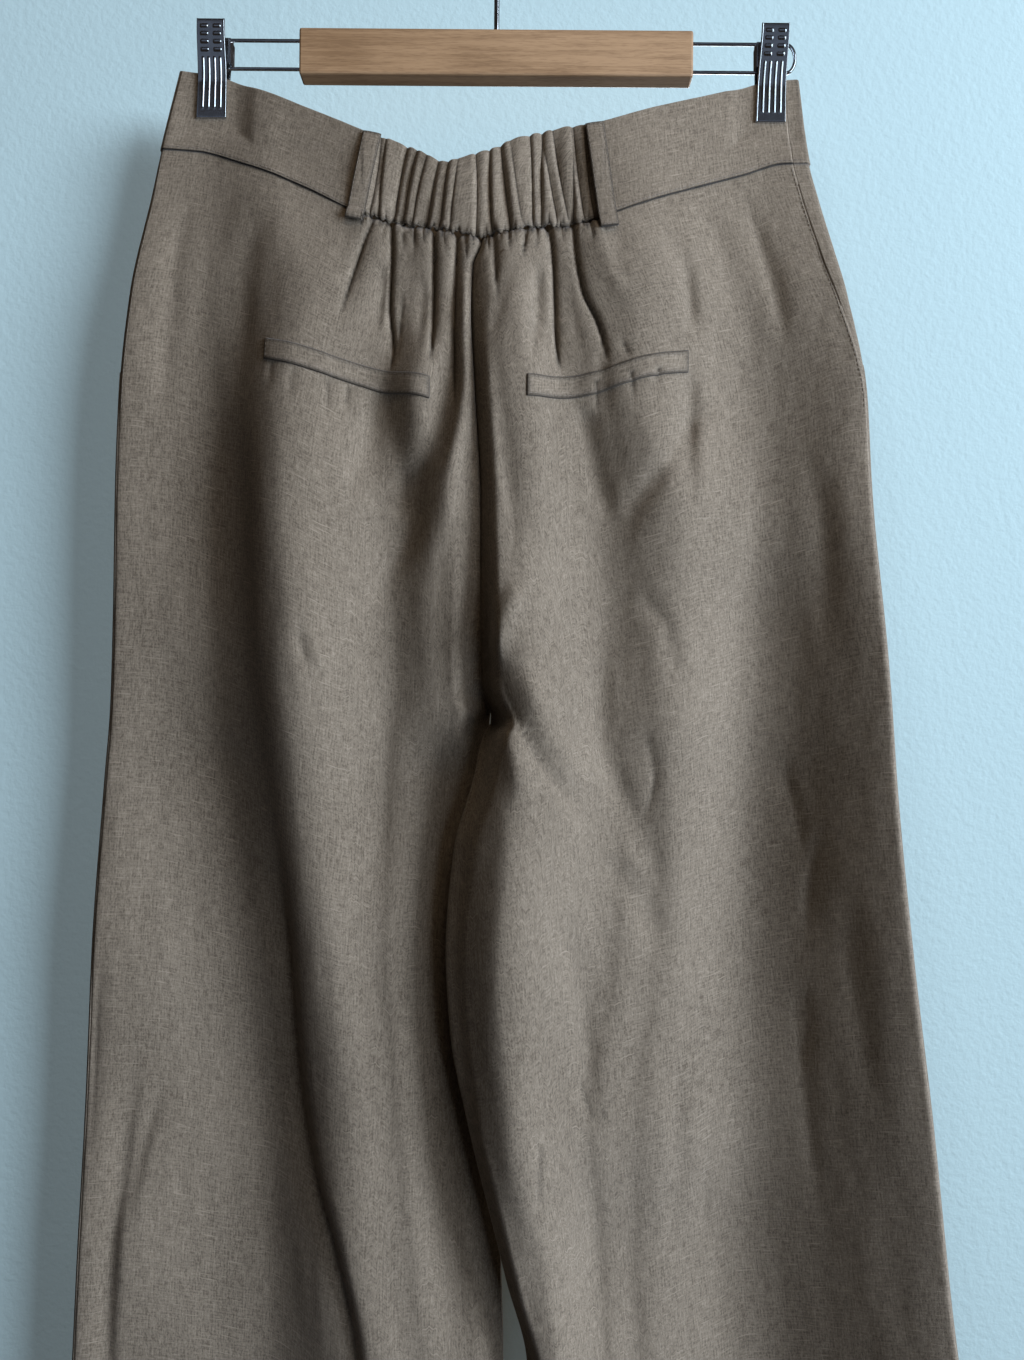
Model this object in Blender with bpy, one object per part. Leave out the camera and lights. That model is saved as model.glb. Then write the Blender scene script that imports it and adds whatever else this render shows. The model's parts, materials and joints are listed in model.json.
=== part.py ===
"""Wide-leg linen trousers with an elasticated back waist, hung by the waistband from a wooden clip hanger.

The sizes below are in millimetres and the meshes are written in metres, +Z up. The origin is the inner top of
the hanger's hook. -Y is the back of the garment, +Y its front and +X the wearer's right.

Every cloth piece is a wall round one shared form: at each height the cloth runs round a ring, from the side
edge over a back layer or a front layer to the centre seam or the inseam. The two layers' depths come from
section tables, and the gathers and pleats are valleys laid over them.
"""
import math

import bmesh
import bpy
import numpy as np

MM = 0.001

# ---------------------------------------------------------------- driving sizes, in millimetres
LEG_WALL = 1.2
BAND_WALL = 1.6
SEAM_GAP = 0.3
CROTCH_Z = -504.0
PANEL_TOP_Z = -165.0
WAIST_FADE = 260.0
LEG_ROWS_Z = (
    *(-165.0, -168.0, -173.0, -181.0, -192.0, -207.0, -225.0, -246.0, -270.0, -296.0, -323.0, -352.0),
    *(-390.0, -430.0, -465.0, -490.0, -504.0, -510.0, -516.0, -530.0, -570.0, -625.0, -690.0, -765.0, -850.0),
    *(-940.0, -1045.0, -1150.0),
)
WAIST_GAP = 0.5
GATHER_ROWS_Z = -270.0
GATHER_ROWS_FADE = 230.0
EDGE_SHARE = 0.08
EDGE_KNEE = 5.0
EDGE_BOW = 40.0
LEG_SPACING = 0.7
CLOSING_REACH = 20.0
CORNER_REACH = 6.0
CROTCH_CORNER = 0.8
WAIST_CENTRE = {"top": -9.0, "seam": -8.4}
POCKET_FOOT_Z = -312.0
FACING_FOOT_Z = -320.0
POCKET_MOUTH = 46.0
POCKET_CURVE = 1.35
FACING_TUCK = 14.0
FACING_SLACK = 1.6
FACING_FOOT_SLACK = 1.0
LOOP_WALL = 1.6
LOOP_BULGE = 1.0
WELT_WALL = 1.2
WELT_COLUMNS = 17
LAY_REACH = 1.5
BELOW_ALL = 1000.0

BAR_LENGTH = 242.0
BAR_HEIGHT = 28.3
BAR_DEPTH = 13.0
BAR_TOP_Z = -85.0
BAR_ROUND = 1.2
HOOK_WIRE = 3.2
HOOK_INNER_RADIUS = 19.0
HOOK_STEM = 24.0
HOOK_TURN = (-48, 212)
HOOK_SWING = 36.0
RAIL_WIRE = 2.1
RAIL_UPPER_Z = -89.4
RAIL_LOWER_Z = -107.0
RAIL_LEFT_END = -182.2
RAIL_RIGHT_END = 185.0
RAIL_BEND = 5.6
CLIP_WIDTH = 17.6
CLIP_PLATE = 1.4
CLIP_TOP_Z = -82.5
CLIP_FOOT_Z = -139.5
CLIP_LEFT_X = -174.2
CLIP_RIGHT_X = 170.6
CLIP_LEFT_LEAN = 0.017
CLIP_RIGHT_LEAN = -0.055
CLIP_GRIP = 2.6
CLIP_OPEN = 9.0
PINCH_DEPTH = 1.2
PINCH_LEFT_X = -174.2
PINCH_RIGHT_X = 168.4
PINCH_HALF_WIDTH = 12.0
PINCH_FOOT_Z = -144.0
PINCH_FADE = 16.0
JAW_CLOSES = 0.62
JAW_RIB_TOP = 0.4
JAW_RIB_FOOT = 0.92
RIB_COUNT = 4
RIB_SHARE = 0.15
RIB_HEIGHT = 0.8
SADDLE_SPANS = {"left": (-175.6, -163.5), "right": (160.4, 177.6)}
SADDLE_DEPTH = 4.6

LEFT, RIGHT = -1, 1


def table(columns, rows):
    """Named columns of a table of rows, in rows' order."""
    return dict(zip(columns.split(), np.array(rows, float).T))


def spread(*stretches):
    """Numbers from 0 to 1: each stretch is (end, count) from the last end."""
    numbers = [0.0]
    for end, count in stretches:
        numbers += list(np.linspace(numbers[-1], end, count + 1)[1:])
    return np.array(numbers)


# Back layer, one row a section down the garment. x is the place across and h how far out the cloth stands to
# the back. From the side edge inwards each side has a hollow, a crest, a trough and an inner swell.
BACK = {
    LEFT: table(
        "z edge_x edge_h hollow_x hollow_h crest_x crest_h trough_x trough_h swell_x swell_h",
        [
            (-110, -195.5, 1.6, -174, 1.2, -120, 8, -60, 15, -20, 18),
            (-159, -206.8, 3.5, -180, 2.6, -135, 8, -62, 14, -22, 18),
            (-187, -212.2, 5, -183, 4, -130, 12, -62, 14, -22, 20),
            (-250, -223.7, 10, -184, 6, -112, 23, -58, 14, -24, 20),
            (-310, -229.2, 11, -183, 6, -121, 31, -72, 17, -28, 27),
            (-373, -231.1, 11, -186, 7, -121, 37, -57, 17, -27, 28),
            (-447, -231.7, 11, -187, 7, -115, 39, -61, 16, -33, 25),
            (-504, -233.8, 9, -185, 1, -113, 35, -60, 14, -30, 19),
            (-546, -237.3, 8, -180, -3, -110, 31, -62, 12, -28, 6),
            (-646, -242.8, 11, -165, -3, -96, 26, -62, 17, -30, 2),
            (-745, -246.6, 10, -152, -6, -82, 23, -54, 17, -22, 2),
            (-844, -250.4, 12, -142, -5, -78, 25, -45, 18, -14, 8),
            (-906, -252.8, 12, -137, -4, -67, 24, -38, 19, -8, 14),
            (-1000, -256.5, 12, -132, -4, -64, 23, -36, 17, -14, 14),
            (-1150, -262.0, 12, -128, -4, -62, 22, -38, 17, -22, 14),
        ],
    ),
    RIGHT: table(
        "z edge_x edge_h hollow_x hollow_h crest_x crest_h trough_x trough_h swell_x swell_h",
        [
            (-110, 186.5, 1.6, 171, 1.2, 72, 14, 40, 16, 10, 18),
            (-165, 194.1, 4, 168, 3, 70, 18, 38, 18, 10, 19),
            (-187, 199.6, 6, 165, 4, 76, 19, 38, 18, 10, 20),
            (-250, 215.2, 15, 157, 7, 82, 27, 38, 21, 8, 29),
            (-310, 225.6, 19, 160, 3, 84, 27, 48, 20, 8, 36),
            (-373, 228.3, 21, 165, 4, 106, 26, 60, 16, 15, 37),
            (-447, 235.5, 18, 167, -6, 107, 20, 70, 13, 13, 41),
            (-504, 240.5, 18, 167, -9, 106, 20, 72, 15, 20, 42),
            (-546, 243.2, 19, 168, -13, 106, 15, 82, 14, 16, 43),
            (-646, 252.4, 22, 165, -15, 104, 9, 78, 14, 9, 47),
            (-745, 264.0, 24, 168, -13, 92, 11, 62, 18, 15, 44),
            (-844, 274.4, 25, 161, -19, 94, -1, 72, 4, 34, 32),
            (-906, 281.0, 28, 165, -17, 96, 0, 74, 6, 44, 30),
            (-1000, 289.0, 26, 171, -15, 100, 2, 80, 8, 50, 28),
            (-1150, 299.0, 22, 178, -12, 106, 3, 84, 9, 52, 26),
        ],
    ),
}

# Front layer, with f how far the cloth stands out towards the front: a side swell, a middle, an inner swell.
FRONT = {
    LEFT: table(
        "z side_x side_f middle_x middle_f swell_x swell_f",
        [
            (-110, -174, 1.2, -112, 9, -52, 14),
            (-159, -180, 2.8, -120, 11, -60, 15),
            (-250, -186, 11, -125, 21, -60, 17),
            (-373, -190, 17, -135, 27, -65, 20),
            (-504, -190, 20, -120, 25, -60, 22),
            (-546, -190, 20, -120, 26, -50, 20),
            (-646, -190, 21, -120, 26, -50, 24),
            (-745, -190, 22, -115, 30, -50, 24),
            (-844, -195, 22, -120, 27, -50, 22),
            (-906, -195, 22, -122, 24, -52, 24),
            (-1150, -200, 22, -130, 17, -60, 25),
        ],
    ),
    RIGHT: table(
        "z side_x side_f middle_x middle_f swell_x swell_f",
        [
            (-110, 171, 1.2, 105, 9, 45, 14),
            (-165, 168, 3, 110, 12, 50, 15),
            (-250, 176, 14, 112, 20, 50, 18),
            (-373, 176, 22, 120, 27, 52, 20),
            (-504, 176, 28, 115, 26, 50, 22),
            (-546, 178, 30, 112, 24, 34, 16),
            (-646, 180, 32, 112, 24, 38, 18),
            (-745, 184, 32, 112, 26, 40, 18),
            (-844, 188, 33, 114, 26, 46, 16),
            (-906, 190, 33, 116, 24, 52, 18),
            (-1150, 200, 30, 126, 18, 66, 24),
        ],
    ),
}

# The centre seam above the crotch, shared by both sides: its place, how far back and front stand out beside
# it, how far they sink at it, and over what width.
CENTRE_SEAM = table(
    "z x back front back_sink front_sink open",
    [
        (-110, -9.0, 18, 15, 0, 0, 14),
        (-160, -8.6, 19, 16, 0, 0, 14),
        (-222, -8.2, 21, 18, 0, 0, 14),
        (-237, -13.2, 21, 19, 0, 0, 14),
        (-262, -14.0, 22, 19, 0, 0, 14),
        (-310, -11.4, 25, 21, 0, 0, 14),
        (-373, -7.4, 28, 22, 2.5, 1, 15),
        (-447, -6.7, 30, 22, 12, 7, 17),
        (-484, -6.2, 28, 21, 19, 13, 18),
        (-494, -4.6, 26, 20, 19, 14, 19),
        (-504, -0.5, 24, 20, 19, 14, 20),
    ],
)

# Each leg's inseam below the crotch: its place across and in depth, how far back and front stand out beside
# it, the radius of the fold there and the width over which the layers sink to it.
INSEAM = {
    LEFT: table(
        "z x back front seam_y roll open",
        [
            (-504, -0.5, 24, 20, 0, 0.0, 20),
            (-510, -0.6, 21, 19.5, 3, 0.5, 21),
            (-516, 0.0, 18, 19, 5.5, 1.5, 22),
            (-546, 1.0, 0, 14, 8, 2.5, 20),
            (-646, 6.0, -6, 20, 13, 5.0, 12),
            (-745, 8.0, -6, 20, 13, 5.0, 12),
            (-844, 9.0, 0, 17, 9, 5.0, 12),
            (-906, 11.0, 8, 8, 0, 6.0, 12),
            (-1000, 4.0, 9, 7, 0, 6.0, 12),
            (-1150, -8.0, 9, 7, 0, 6.0, 12),
        ],
    ),
    RIGHT: table(
        "z x back front seam_y roll open",
        [
            (-504, -0.5, 24, 20, 0, 0.0, 20),
            (-510, -0.1, 24.5, 16, -3, 0.5, 21),
            (-516, -4.0, 25, 12, -5.5, 1.5, 22),
            (-546, -11.0, 26, -4, -12, 2.5, 20),
            (-587, -22.0, 27, -8, -15, 5.0, 16),
            (-646, -26.2, 27, -9, -17, 7.0, 14),
            (-700, -22.6, 26, -9, -17, 7.0, 14),
            (-745, -13.4, 26, -8, -17, 7.0, 14),
            (-844, 11.0, 22, -3, -13, 7.0, 14),
            (-906, 25.0, 16, 4, -6, 7.0, 14),
            (-1000, 25.0, 14, 5, -4, 7.0, 14),
            (-1150, 18.0, 12, 5, -3, 7.0, 14),
        ],
    ),
}
EDGE_ROLL = table("z roll", [(-110, 2.0), (-160, 3.4), (-200, 4.2), (-260, 4.6), (-1150, 4.6)])

# How far the side seam lies in from the side edge, on the back.
SEAM_INSET = {
    LEFT: table("z inset", [(-110, 1.0), (-159, 1.2), (-200, 2.2), (-1150, 2.2)]),
    RIGHT: table(
        "z inset",
        [(-110, 9), (-165, 11), (-225, 10), (-254, 7), (-284, 4), (-314, 2.2), (-1150, 2.2)],
    ),
}

# The waistband's top edge and the waist seam, station by station across the garment.
BACK_WAIST = table(
    "top_x top_z seam_x seam_z",
    [
        (-195.5, -110.0, -206.8, -159.0),
        (-174.0, -113.0, -183.0, -160.2),
        (-144.6, -124.0, -152.0, -170.4),
        (-106.7, -140.2, -114.0, -187.0),
        (-74.0, -154.8, -84.5, -201.5),
        (-51.9, -162.5, -60.0, -208.6),
        (-28.0, -173.5, -34.0, -214.0),
        (-9.0, -168.0, -8.6, -219.0),
        (19.8, -157.7, 22.0, -213.5),
        (45.0, -151.5, 50.0, -210.3),
        (59.5, -149.2, 68.5, -205.3),
        (100.0, -136.0, 108.0, -189.6),
        (145.0, -120.8, 152.0, -173.0),
        (171.0, -113.5, 178.0, -165.2),
        (186.5, -112.4, 194.1, -165.0),
    ],
)
FRONT_WAIST = table(
    "top_x top_z seam_x seam_z",
    [
        (-195.5, -110.0, -206.8, -159.0),
        (-174.0, -112.5, -183.0, -160.5),
        (-110.0, -134.0, -117.0, -181.0),
        (-60.0, -156.0, -64.0, -203.0),
        (-9.0, -170.0, -8.6, -217.0),
        (45.0, -154.0, 48.0, -203.0),
        (100.0, -134.0, 107.0, -185.0),
        (171.0, -113.5, 178.0, -165.4),
        (186.5, -112.4, 194.1, -165.0),
    ],
)
ELASTIC_ENDS = table("top_x seam_x", [(-74.0, -84.5), (59.5, 68.5)])

# Pleats of the elastic waistband: each valley's place at the top edge and at the waist seam, and its depth.
PLEATS = table(
    "top_x seam_x depth",
    [
        (-66.0, -71.0, 2.0),
        (-51.6, -61.6, 3.6),
        (-47.4, -56.5, 3.2),
        (-34.5, -43.0, 3.4),
        (-27.2, -34.2, 3.2),
        (-19.2, -15.9, 3.4),
        (-10.7, -8.0, 3.2),
        (-2.9, 2.2, 4.2),
        (12.2, 14.5, 3.0),
        (17.0, 20.8, 3.0),
        (26.6, 32.8, 3.4),
        (37.4, 37.7, 3.0),
        (44.0, 47.6, 3.2),
        (49.0, 53.3, 2.4),
    ],
)
PLEAT_WIDTH = 2.6

# Gathers under the elastic: each valley's place at the waist seam, half way and at its foot, its foot's
# height, its depth and its half width.
GATHERS = {
    LEFT: table(
        "top_x mid_x foot_x foot_z depth width",
        [
            (-74.0, -80.0, -85.0, -246, 3.0, 5.0),
            (-62.0, -61.5, -64.0, -322, 6.0, 5.0),
            (-48.2, -48.4, -49.0, -232, 2.6, 3.2),
            (-37.0, -36.5, -37.0, -304, 5.4, 5.0),
            (-23.6, -23.4, -23.7, -294, 5.6, 4.6),
        ],
    ),
    RIGHT: table(
        "top_x mid_x foot_x foot_z depth width",
        [
            (0.4, 1.2, 3.0, -262, 5.4, 4.6),
            (18.6, 17.6, 17.0, -244, 3.0, 4.0),
            (31.6, 34.8, 40.0, -322, 6.0, 5.0),
            (47.5, 50.0, 70.0, -322, 6.4, 5.4),
            (58.0, 59.5, 62.0, -230, 2.8, 3.4),
        ],
    ),
}
SEAM_VALLEY = table("z depth width", [(-219, 3.2, 4.0), (-260, 4.0, 4.6), (-340, 2.6, 5.0), (-430, 0.0, 6.0)])
PUFF_RISE = 2.6
PUFF_REACH = 9.0
PUFF_FADE = 70.0

# Belt loops: the middle of each end across and up, at the back as worn and at the front.
LOOP_WIDTH = 10.7
BELT_LOOPS = {
    "belt_loop_back_left": ("back", (-74.2, -154.6), (-84.6, -207.6)),
    "belt_loop_back_right": ("back", (59.5, -150.0), (68.6, -214.6)),
    "belt_loop_front_left": ("front", (-104.0, -140.5), (-111.0, -190.0)),
    "belt_loop_front_right": ("front", (96.0, -138.5), (103.0, -193.0)),
}

# Welts of the back pockets: upper edge's ends and middle, and their height.
WELT_HEIGHT = 12.6
WELTS = {
    LEFT: table("x z", [(-135.8, -282.0), (-92.0, -293.4), (-38.0, -305.2)]),
    RIGHT: table("x z", [(20.0, -305.7), (54.4, -301.7), (96.0, -290.4), (116.9, -285.6)]),
}

# Columns of the pieces' grids, from the side edge inwards: back panels at the gathers and where they hang
# free, front panels, the waistband's flat ends and fronts, and the fronts' turn round the side edge.
GATHERED_COLUMNS = spread((0.016, 2), (0.57, 5), (0.955, 18), (1.0, 4))
HANGING_COLUMNS = spread((0.016, 2), (0.93, 22), (0.975, 2), (0.993, 2), (1.0, 1))
FRONT_COLUMNS = spread((EDGE_SHARE, 5), (0.24, 4), (0.93, 6), (0.975, 1), (0.993, 1), (1.0, 1))
FLAT_BAND_COLUMNS = (0.03, 0.075, 0.12, 0.17, 0.22, 0.28, 0.33, 0.38)
FRONT_BAND_COLUMNS = (0.11, 0.15, 0.19, 0.23, 0.26)
ROUND_COLUMNS = {
    LEFT: EDGE_SHARE * np.array([0.0, 0.08, 0.17, 0.27, 0.4, 0.6, 0.8, 1.0]),
    RIGHT: EDGE_SHARE * np.array([0.0, 0.27, 0.45, 0.55, 0.61, 0.67, 0.73, 0.8, 0.9, 1.0]),
}

# Colour, roughness and metallic value of each material.
FINISHES = {
    "linen": ((0.23, 0.185, 0.135), 0.92, 0.0),
    "bar_wood": ((0.42, 0.24, 0.12), 0.45, 0.0),
    "steel": ((0.62, 0.63, 0.65), 0.22, 1.0),
}


# ---------------------------------------------------------------- curves and layers
def curve(t, knots, values):
    """Smooth curve through knots that rise, flat past its ends, with no overshoot between them."""
    run = np.diff(knots)
    secant = np.diff(values) / run
    heavy, light = 2 * run[1:] + run[:-1], run[1:] + 2 * run[:-1]
    turning = secant[:-1] * secant[1:] <= 0
    before, after = (np.where(turning, 1.0, part) for part in (secant[:-1], secant[1:]))
    middle = np.where(turning, 0.0, (heavy + light) / (heavy / before + light / after))
    slopes = np.concatenate([secant[:1], middle, secant[-1:]])
    i = np.clip(np.searchsorted(knots, t) - 1, 0, len(knots) - 2)
    step = knots[i + 1] - knots[i]
    u = np.clip((t - knots[i]) / step, 0, 1)
    ease = u * u * (3 - 2 * u)
    leave = u * (1 - u) ** 2 * step * slopes[i]
    arrive = u * u * (u - 1) * step * slopes[i + 1]
    return values[i] * (1 - ease) + values[i + 1] * ease + leave + arrive


def at_height(rows, column, z):
    """A section table's column at the heights z."""
    return curve(-z, -rows["z"], rows[column])


def at_inner_end(side, column, z):
    """The same at the inner end: at the centre seam above the crotch, at the leg's inseam below it."""
    above = at_height(CENTRE_SEAM, column, z) if column in CENTRE_SEAM else 0.0
    below = at_height(INSEAM[side], column, z) if column in INSEAM[side] else 0.0
    return np.where(z >= CROTCH_Z, above, below)


def ease(t):
    """0 to 1 with level ends."""
    t = np.clip(t, 0, 1)
    return t * t * (3 - 2 * t)


def quarter(t):
    """Rise of a quarter circle, upright at 0 and level at 1."""
    t = np.clip(t, 0, 1)
    return np.sqrt(np.clip(1 - (1 - t) ** 2, 0, 1))


def profile(x, places, heights):
    """Height at x between named places, level at each one."""
    total = heights[0] + 0 * x
    for here, there, low, high in zip(places, places[1:], heights, heights[1:]):
        total = total + (high - low) * ease((x - here) / (there - here))
    return total


def leave_seam(t):
    """0 to 1, steep at first and level at the end: cloth that puffs out under a seam."""
    return 1 - (1 - np.clip(t, 0, 1)) ** 2


def valley(distance, width):
    """A fold's cut-in section: 1 with a sharp foot at 0, and 0 a few widths away."""
    return np.exp(-((np.abs(distance) / width) ** 1.3))


def three_points(z, top_z, foot_z, top, middle, foot):
    """Place of a fold line at the height z, through three points."""
    t = np.clip((top_z - z) / (top_z - foot_z), 0, 1)
    return top * (1 - t) * (1 - 2 * t) + 4 * middle * t * (1 - t) + foot * t * (2 * t - 1)


def seam_height(waist, x):
    """Height of the waist seam at x."""
    return curve(x, waist["seam_x"], waist["seam_z"])


def gather_relief(side, x, z):
    """Gathers under the waist seam: puffs with sharp valleys between them, fading downwards."""
    below = seam_height(BACK_WAIST, x) - z
    rows = GATHERS[side]
    relief = 0 * x
    for top, middle, foot, foot_z, depth, width in zip(*(rows[name] for name in rows)):
        place = three_points(z, -212.0, foot_z, top, middle, foot)
        fade = 1 - ease((-215.0 - z) / (-215.0 - foot_z))
        relief = relief - depth * fade * valley(x - place, width * (1 + 0.5 * (1 - fade)))
    centre = at_height(CENTRE_SEAM, "x", z)
    seam_width = at_height(SEAM_VALLEY, "width", z)
    relief = relief - at_height(SEAM_VALLEY, "depth", z) * valley(x - centre, seam_width)
    inside = ease((x + 92) / 16) * (1 - ease((x - 60) / 18))
    starts = leave_seam(below / PUFF_REACH)
    puff = PUFF_RISE * starts * (1 - ease(below / PUFF_FADE)) * inside
    return np.where(below > 0, relief * starts + puff, 0)


def pleat_relief(x, z):
    """Pleats of the elastic waistband, cut into its outer side."""
    top_z = curve(x, BACK_WAIST["top_x"], BACK_WAIST["top_z"])
    seam_z = curve(x, BACK_WAIST["seam_x"], BACK_WAIST["seam_z"])
    down = np.clip((top_z - z) / (top_z - seam_z), 0, 1)
    relief = 0 * x
    for top, seam, depth in zip(*(PLEATS[name] for name in PLEATS)):
        place = top + (seam - top) * down
        relief = relief - depth * (0.55 + 0.45 * ease(down * 3)) * valley(x - place, PLEAT_WIDTH)
    return relief


def pinched(x, z, depth):
    """A layer's depth where a clip's jaws hold the two layers together."""
    across_jaws = np.minimum(np.abs(x - PINCH_LEFT_X), np.abs(x - PINCH_RIGHT_X)) - PINCH_HALF_WIDTH
    free = np.maximum(ease(across_jaws / PINCH_FADE), ease((PINCH_FOOT_Z - z) / PINCH_FADE))
    return PINCH_DEPTH + (depth - PINCH_DEPTH) * free


def back_depth(side, x, z):
    """How far the back layer stands out at (x, z), before it turns in at its edges."""
    rows = BACK[side]
    lines = ("edge", "hollow", "crest", "trough", "swell")
    inward = -side
    places = [inward * at_height(rows, line + "_x", z) for line in lines]
    places += [inward * at_inner_end(side, "x", z)]
    heights = [at_height(rows, line + "_h", z) for line in lines] + [at_inner_end(side, "back", z)]
    return pinched(x, z, profile(inward * x, places, heights))


def front_depth(side, x, z):
    """How far the front layer stands out at (x, z), before it turns in at its edges."""
    rows = FRONT[side]
    inward = -side
    roll = at_height(EDGE_ROLL, "roll", z)
    edge = at_height(BACK[side], "edge_x", z)
    lines = ("side", "middle", "swell")
    places = [inward * edge] + [inward * at_height(rows, line + "_x", z) for line in lines]
    places += [inward * at_inner_end(side, "x", z)]
    heights = [2 * roll - at_height(BACK[side], "edge_h", z)]
    heights += [at_height(rows, line + "_f", z) for line in lines]
    heights += [at_inner_end(side, "front", z)]
    return pinched(x, z, profile(inward * x, places, heights))


def form(side, face, x, z, relief=0.0):
    """Points of the cloth's middle surface at (x, z), on the back (face -1) or the front (face 1)."""
    edge_x = at_height(BACK[side], "edge_x", z)
    roll = at_height(EDGE_ROLL, "roll", z)
    edge_y = roll - at_height(BACK[side], "edge_h", z)
    from_edge = np.abs(x - edge_x)
    from_end = np.abs(at_inner_end(side, "x", z) - x)
    depth = back_depth(side, x, z) if face < 0 else front_depth(side, x, z)
    layer = face * (depth + relief)
    y = layer + (edge_y - layer) * (1 - quarter(from_edge / roll))
    sunk = layer - face * at_inner_end(side, "back_sink" if face < 0 else "front_sink", z)
    closing = ease((CROTCH_Z + CLOSING_REACH - z) / CLOSING_REACH)
    corner = CROTCH_CORNER + (SEAM_GAP / 2 - CROTCH_CORNER) * ease((CROTCH_Z - z) / CORNER_REACH)
    seam_y = at_inner_end(side, "seam_y", z) + face * corner
    target = sunk + (seam_y - sunk) * closing
    inner_roll = at_inner_end(side, "roll", z)
    share = np.clip(inner_roll / np.maximum(np.abs(layer - target), 1e-6), 0, 1)
    round_part = quarter(from_end / np.maximum(inner_roll, 0.5))
    slope_part = ease(from_end / at_inner_end(side, "open", z))
    y = target + (y - target) * (share * round_part + (1 - share) * slope_part)
    return np.stack([x, y, z + 0 * x], axis=-1)


# ---------------------------------------------------------------- cloth pieces as surfaces of two parameters
def panel_height(waist, x, level):
    """Height of a leg panel's point: its waist seam eases into level rows."""
    drop = seam_height(waist, x) - PANEL_TOP_Z
    fade = np.clip(1 - (PANEL_TOP_Z - level) / WAIST_FADE, 0, 1) ** 2
    return level + (drop - WAIST_GAP) * fade


def inset_at(side, z):
    """How far the side seam lies in from the side edge, on the back."""
    return at_height(SEAM_INSET[side], "inset", z)


def edge_at(side, z):
    """The side edge's place across."""
    return at_height(BACK[side], "edge_x", z)


def width_at(side, z):
    """Distance from the side edge to the inner end, which stops short of the other leg's below the crotch."""
    apart = LEG_SPACING * ease((CROTCH_Z - z) / CORNER_REACH)
    return np.abs(at_inner_end(side, "x", z) + side * apart - edge_at(side, z))


def past_edge(start, end, knee, along):
    """Distance in from the side edge: a short stretch up to the knee takes the first few columns."""
    early = start + (knee - start) * along / EDGE_SHARE
    late = knee + (end - knee) * (along - EDGE_SHARE) / (1 - EDGE_SHARE)
    return np.where(along < EDGE_SHARE, early, late)


def back_leg_surface(side):
    """Back panel of a leg: along runs from the side seam to the inner end, level is the row's height."""

    def surface(along, level):
        z = level
        for _ in range(4):
            inset = inset_at(side, z)
            x = edge_at(side, z) - side * (inset + (width_at(side, z) - inset) * along)
            z = panel_height(BACK_WAIST, x, level)
        return form(side, -1, x, z, gather_relief(side, x, z))

    return surface


def wrapped(side, distance, z):
    """Point at a signed distance from the side edge: on the back where it is negative, else on the front."""
    x = edge_at(side, z) - side * np.abs(distance)
    return np.where((distance < 0)[..., None], form(side, -1, x, z), form(side, 1, x, z))


def pocket_line(side, z):
    """Distance of the front panel's outer edge from the side edge: the pocket's mouth, then the seam."""
    inset = inset_at(side, z)
    t = np.clip((z - POCKET_FOOT_Z) / (PANEL_TOP_Z - POCKET_FOOT_Z), 0, 1)
    return -inset + (POCKET_MOUTH + inset) * t**POCKET_CURVE


def waist_line(side, distance, line):
    """Height of the top edge or the waist seam at a signed distance from the side edge."""
    end = 0 if side == LEFT else -1
    x = BACK_WAIST[line + "_x"][end] - side * np.abs(distance)
    on_back = curve(x, BACK_WAIST[line + "_x"], BACK_WAIST[line + "_z"])
    on_front = curve(x, FRONT_WAIST[line + "_x"], FRONT_WAIST[line + "_z"])
    return np.where(distance < 0, on_back, on_front)


def front_leg_surface(side):
    """Front panel of a leg: along runs from the pocket mouth or side seam to the centre seam or inseam."""

    def surface(along, level):
        z = level
        for _ in range(4):
            start = pocket_line(side, z)
            knee = np.maximum(start, 0) + EDGE_KNEE
            distance = past_edge(start, width_at(side, z), knee, along)
            z = panel_height(FRONT_WAIST, edge_at(side, z) - side * np.abs(distance), level)
        return wrapped(side, distance, z)

    return surface


def facing_surface(side):
    """Slant pocket's facing: from the side seam round the side edge to behind the front panel's mouth."""

    def surface(along, down):
        z = PANEL_TOP_Z + 0 * along
        for _ in range(4):
            distance = past_edge(-inset_at(side, z), pocket_line(side, z) + FACING_TUCK, EDGE_KNEE, along)
            top = waist_line(side, distance, "seam")
            z = top + (FACING_FOOT_Z - top) * down
        return wrapped(side, distance, z)

    return surface


def band_grid(side_lines, along, down):
    """Place and height on the back waistband; each side line gives its place at the top and at the seam."""
    (start_top, start_seam), (end_top, end_seam) = side_lines
    top_x = start_top + (end_top - start_top) * along
    seam_x = start_seam + (end_seam - start_seam) * along
    top_z = curve(top_x, BACK_WAIST["top_x"], BACK_WAIST["top_z"])
    seam_z = curve(seam_x, BACK_WAIST["seam_x"], BACK_WAIST["seam_z"])
    return top_x + (seam_x - top_x) * down, top_z + (seam_z - top_z) * down


def bowed(side, x, z):
    """Place across of a waistband point: near the side edge it follows that edge's own curve."""
    end = 0 if side == LEFT else -1
    top_x, top_z, seam_x, seam_z = (BACK_WAIST[name][end] for name in ("top_x", "top_z", "seam_x", "seam_z"))
    straight = top_x + (seam_x - top_x) * (top_z - z) / (top_z - seam_z)
    return x + (edge_at(side, z) - straight) * (1 - ease(np.abs(x - straight) / EDGE_BOW))


def on_either_side(face, x, z, relief):
    """Point of the form at (x, z), on whichever side of the centre it is."""
    centre = at_height(CENTRE_SEAM, "x", z)
    return np.where((x < centre)[..., None], form(LEFT, face, x, z, relief), form(RIGHT, face, x, z, relief))


def elastic_surface(along, down):
    """Gathered middle of the back waistband, between the two back belt loops."""
    lines = tuple(zip(ELASTIC_ENDS["top_x"], ELASTIC_ENDS["seam_x"]))
    x, z = band_grid(lines, along, down)
    return on_either_side(-1, x, z, pleat_relief(x, z))


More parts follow.
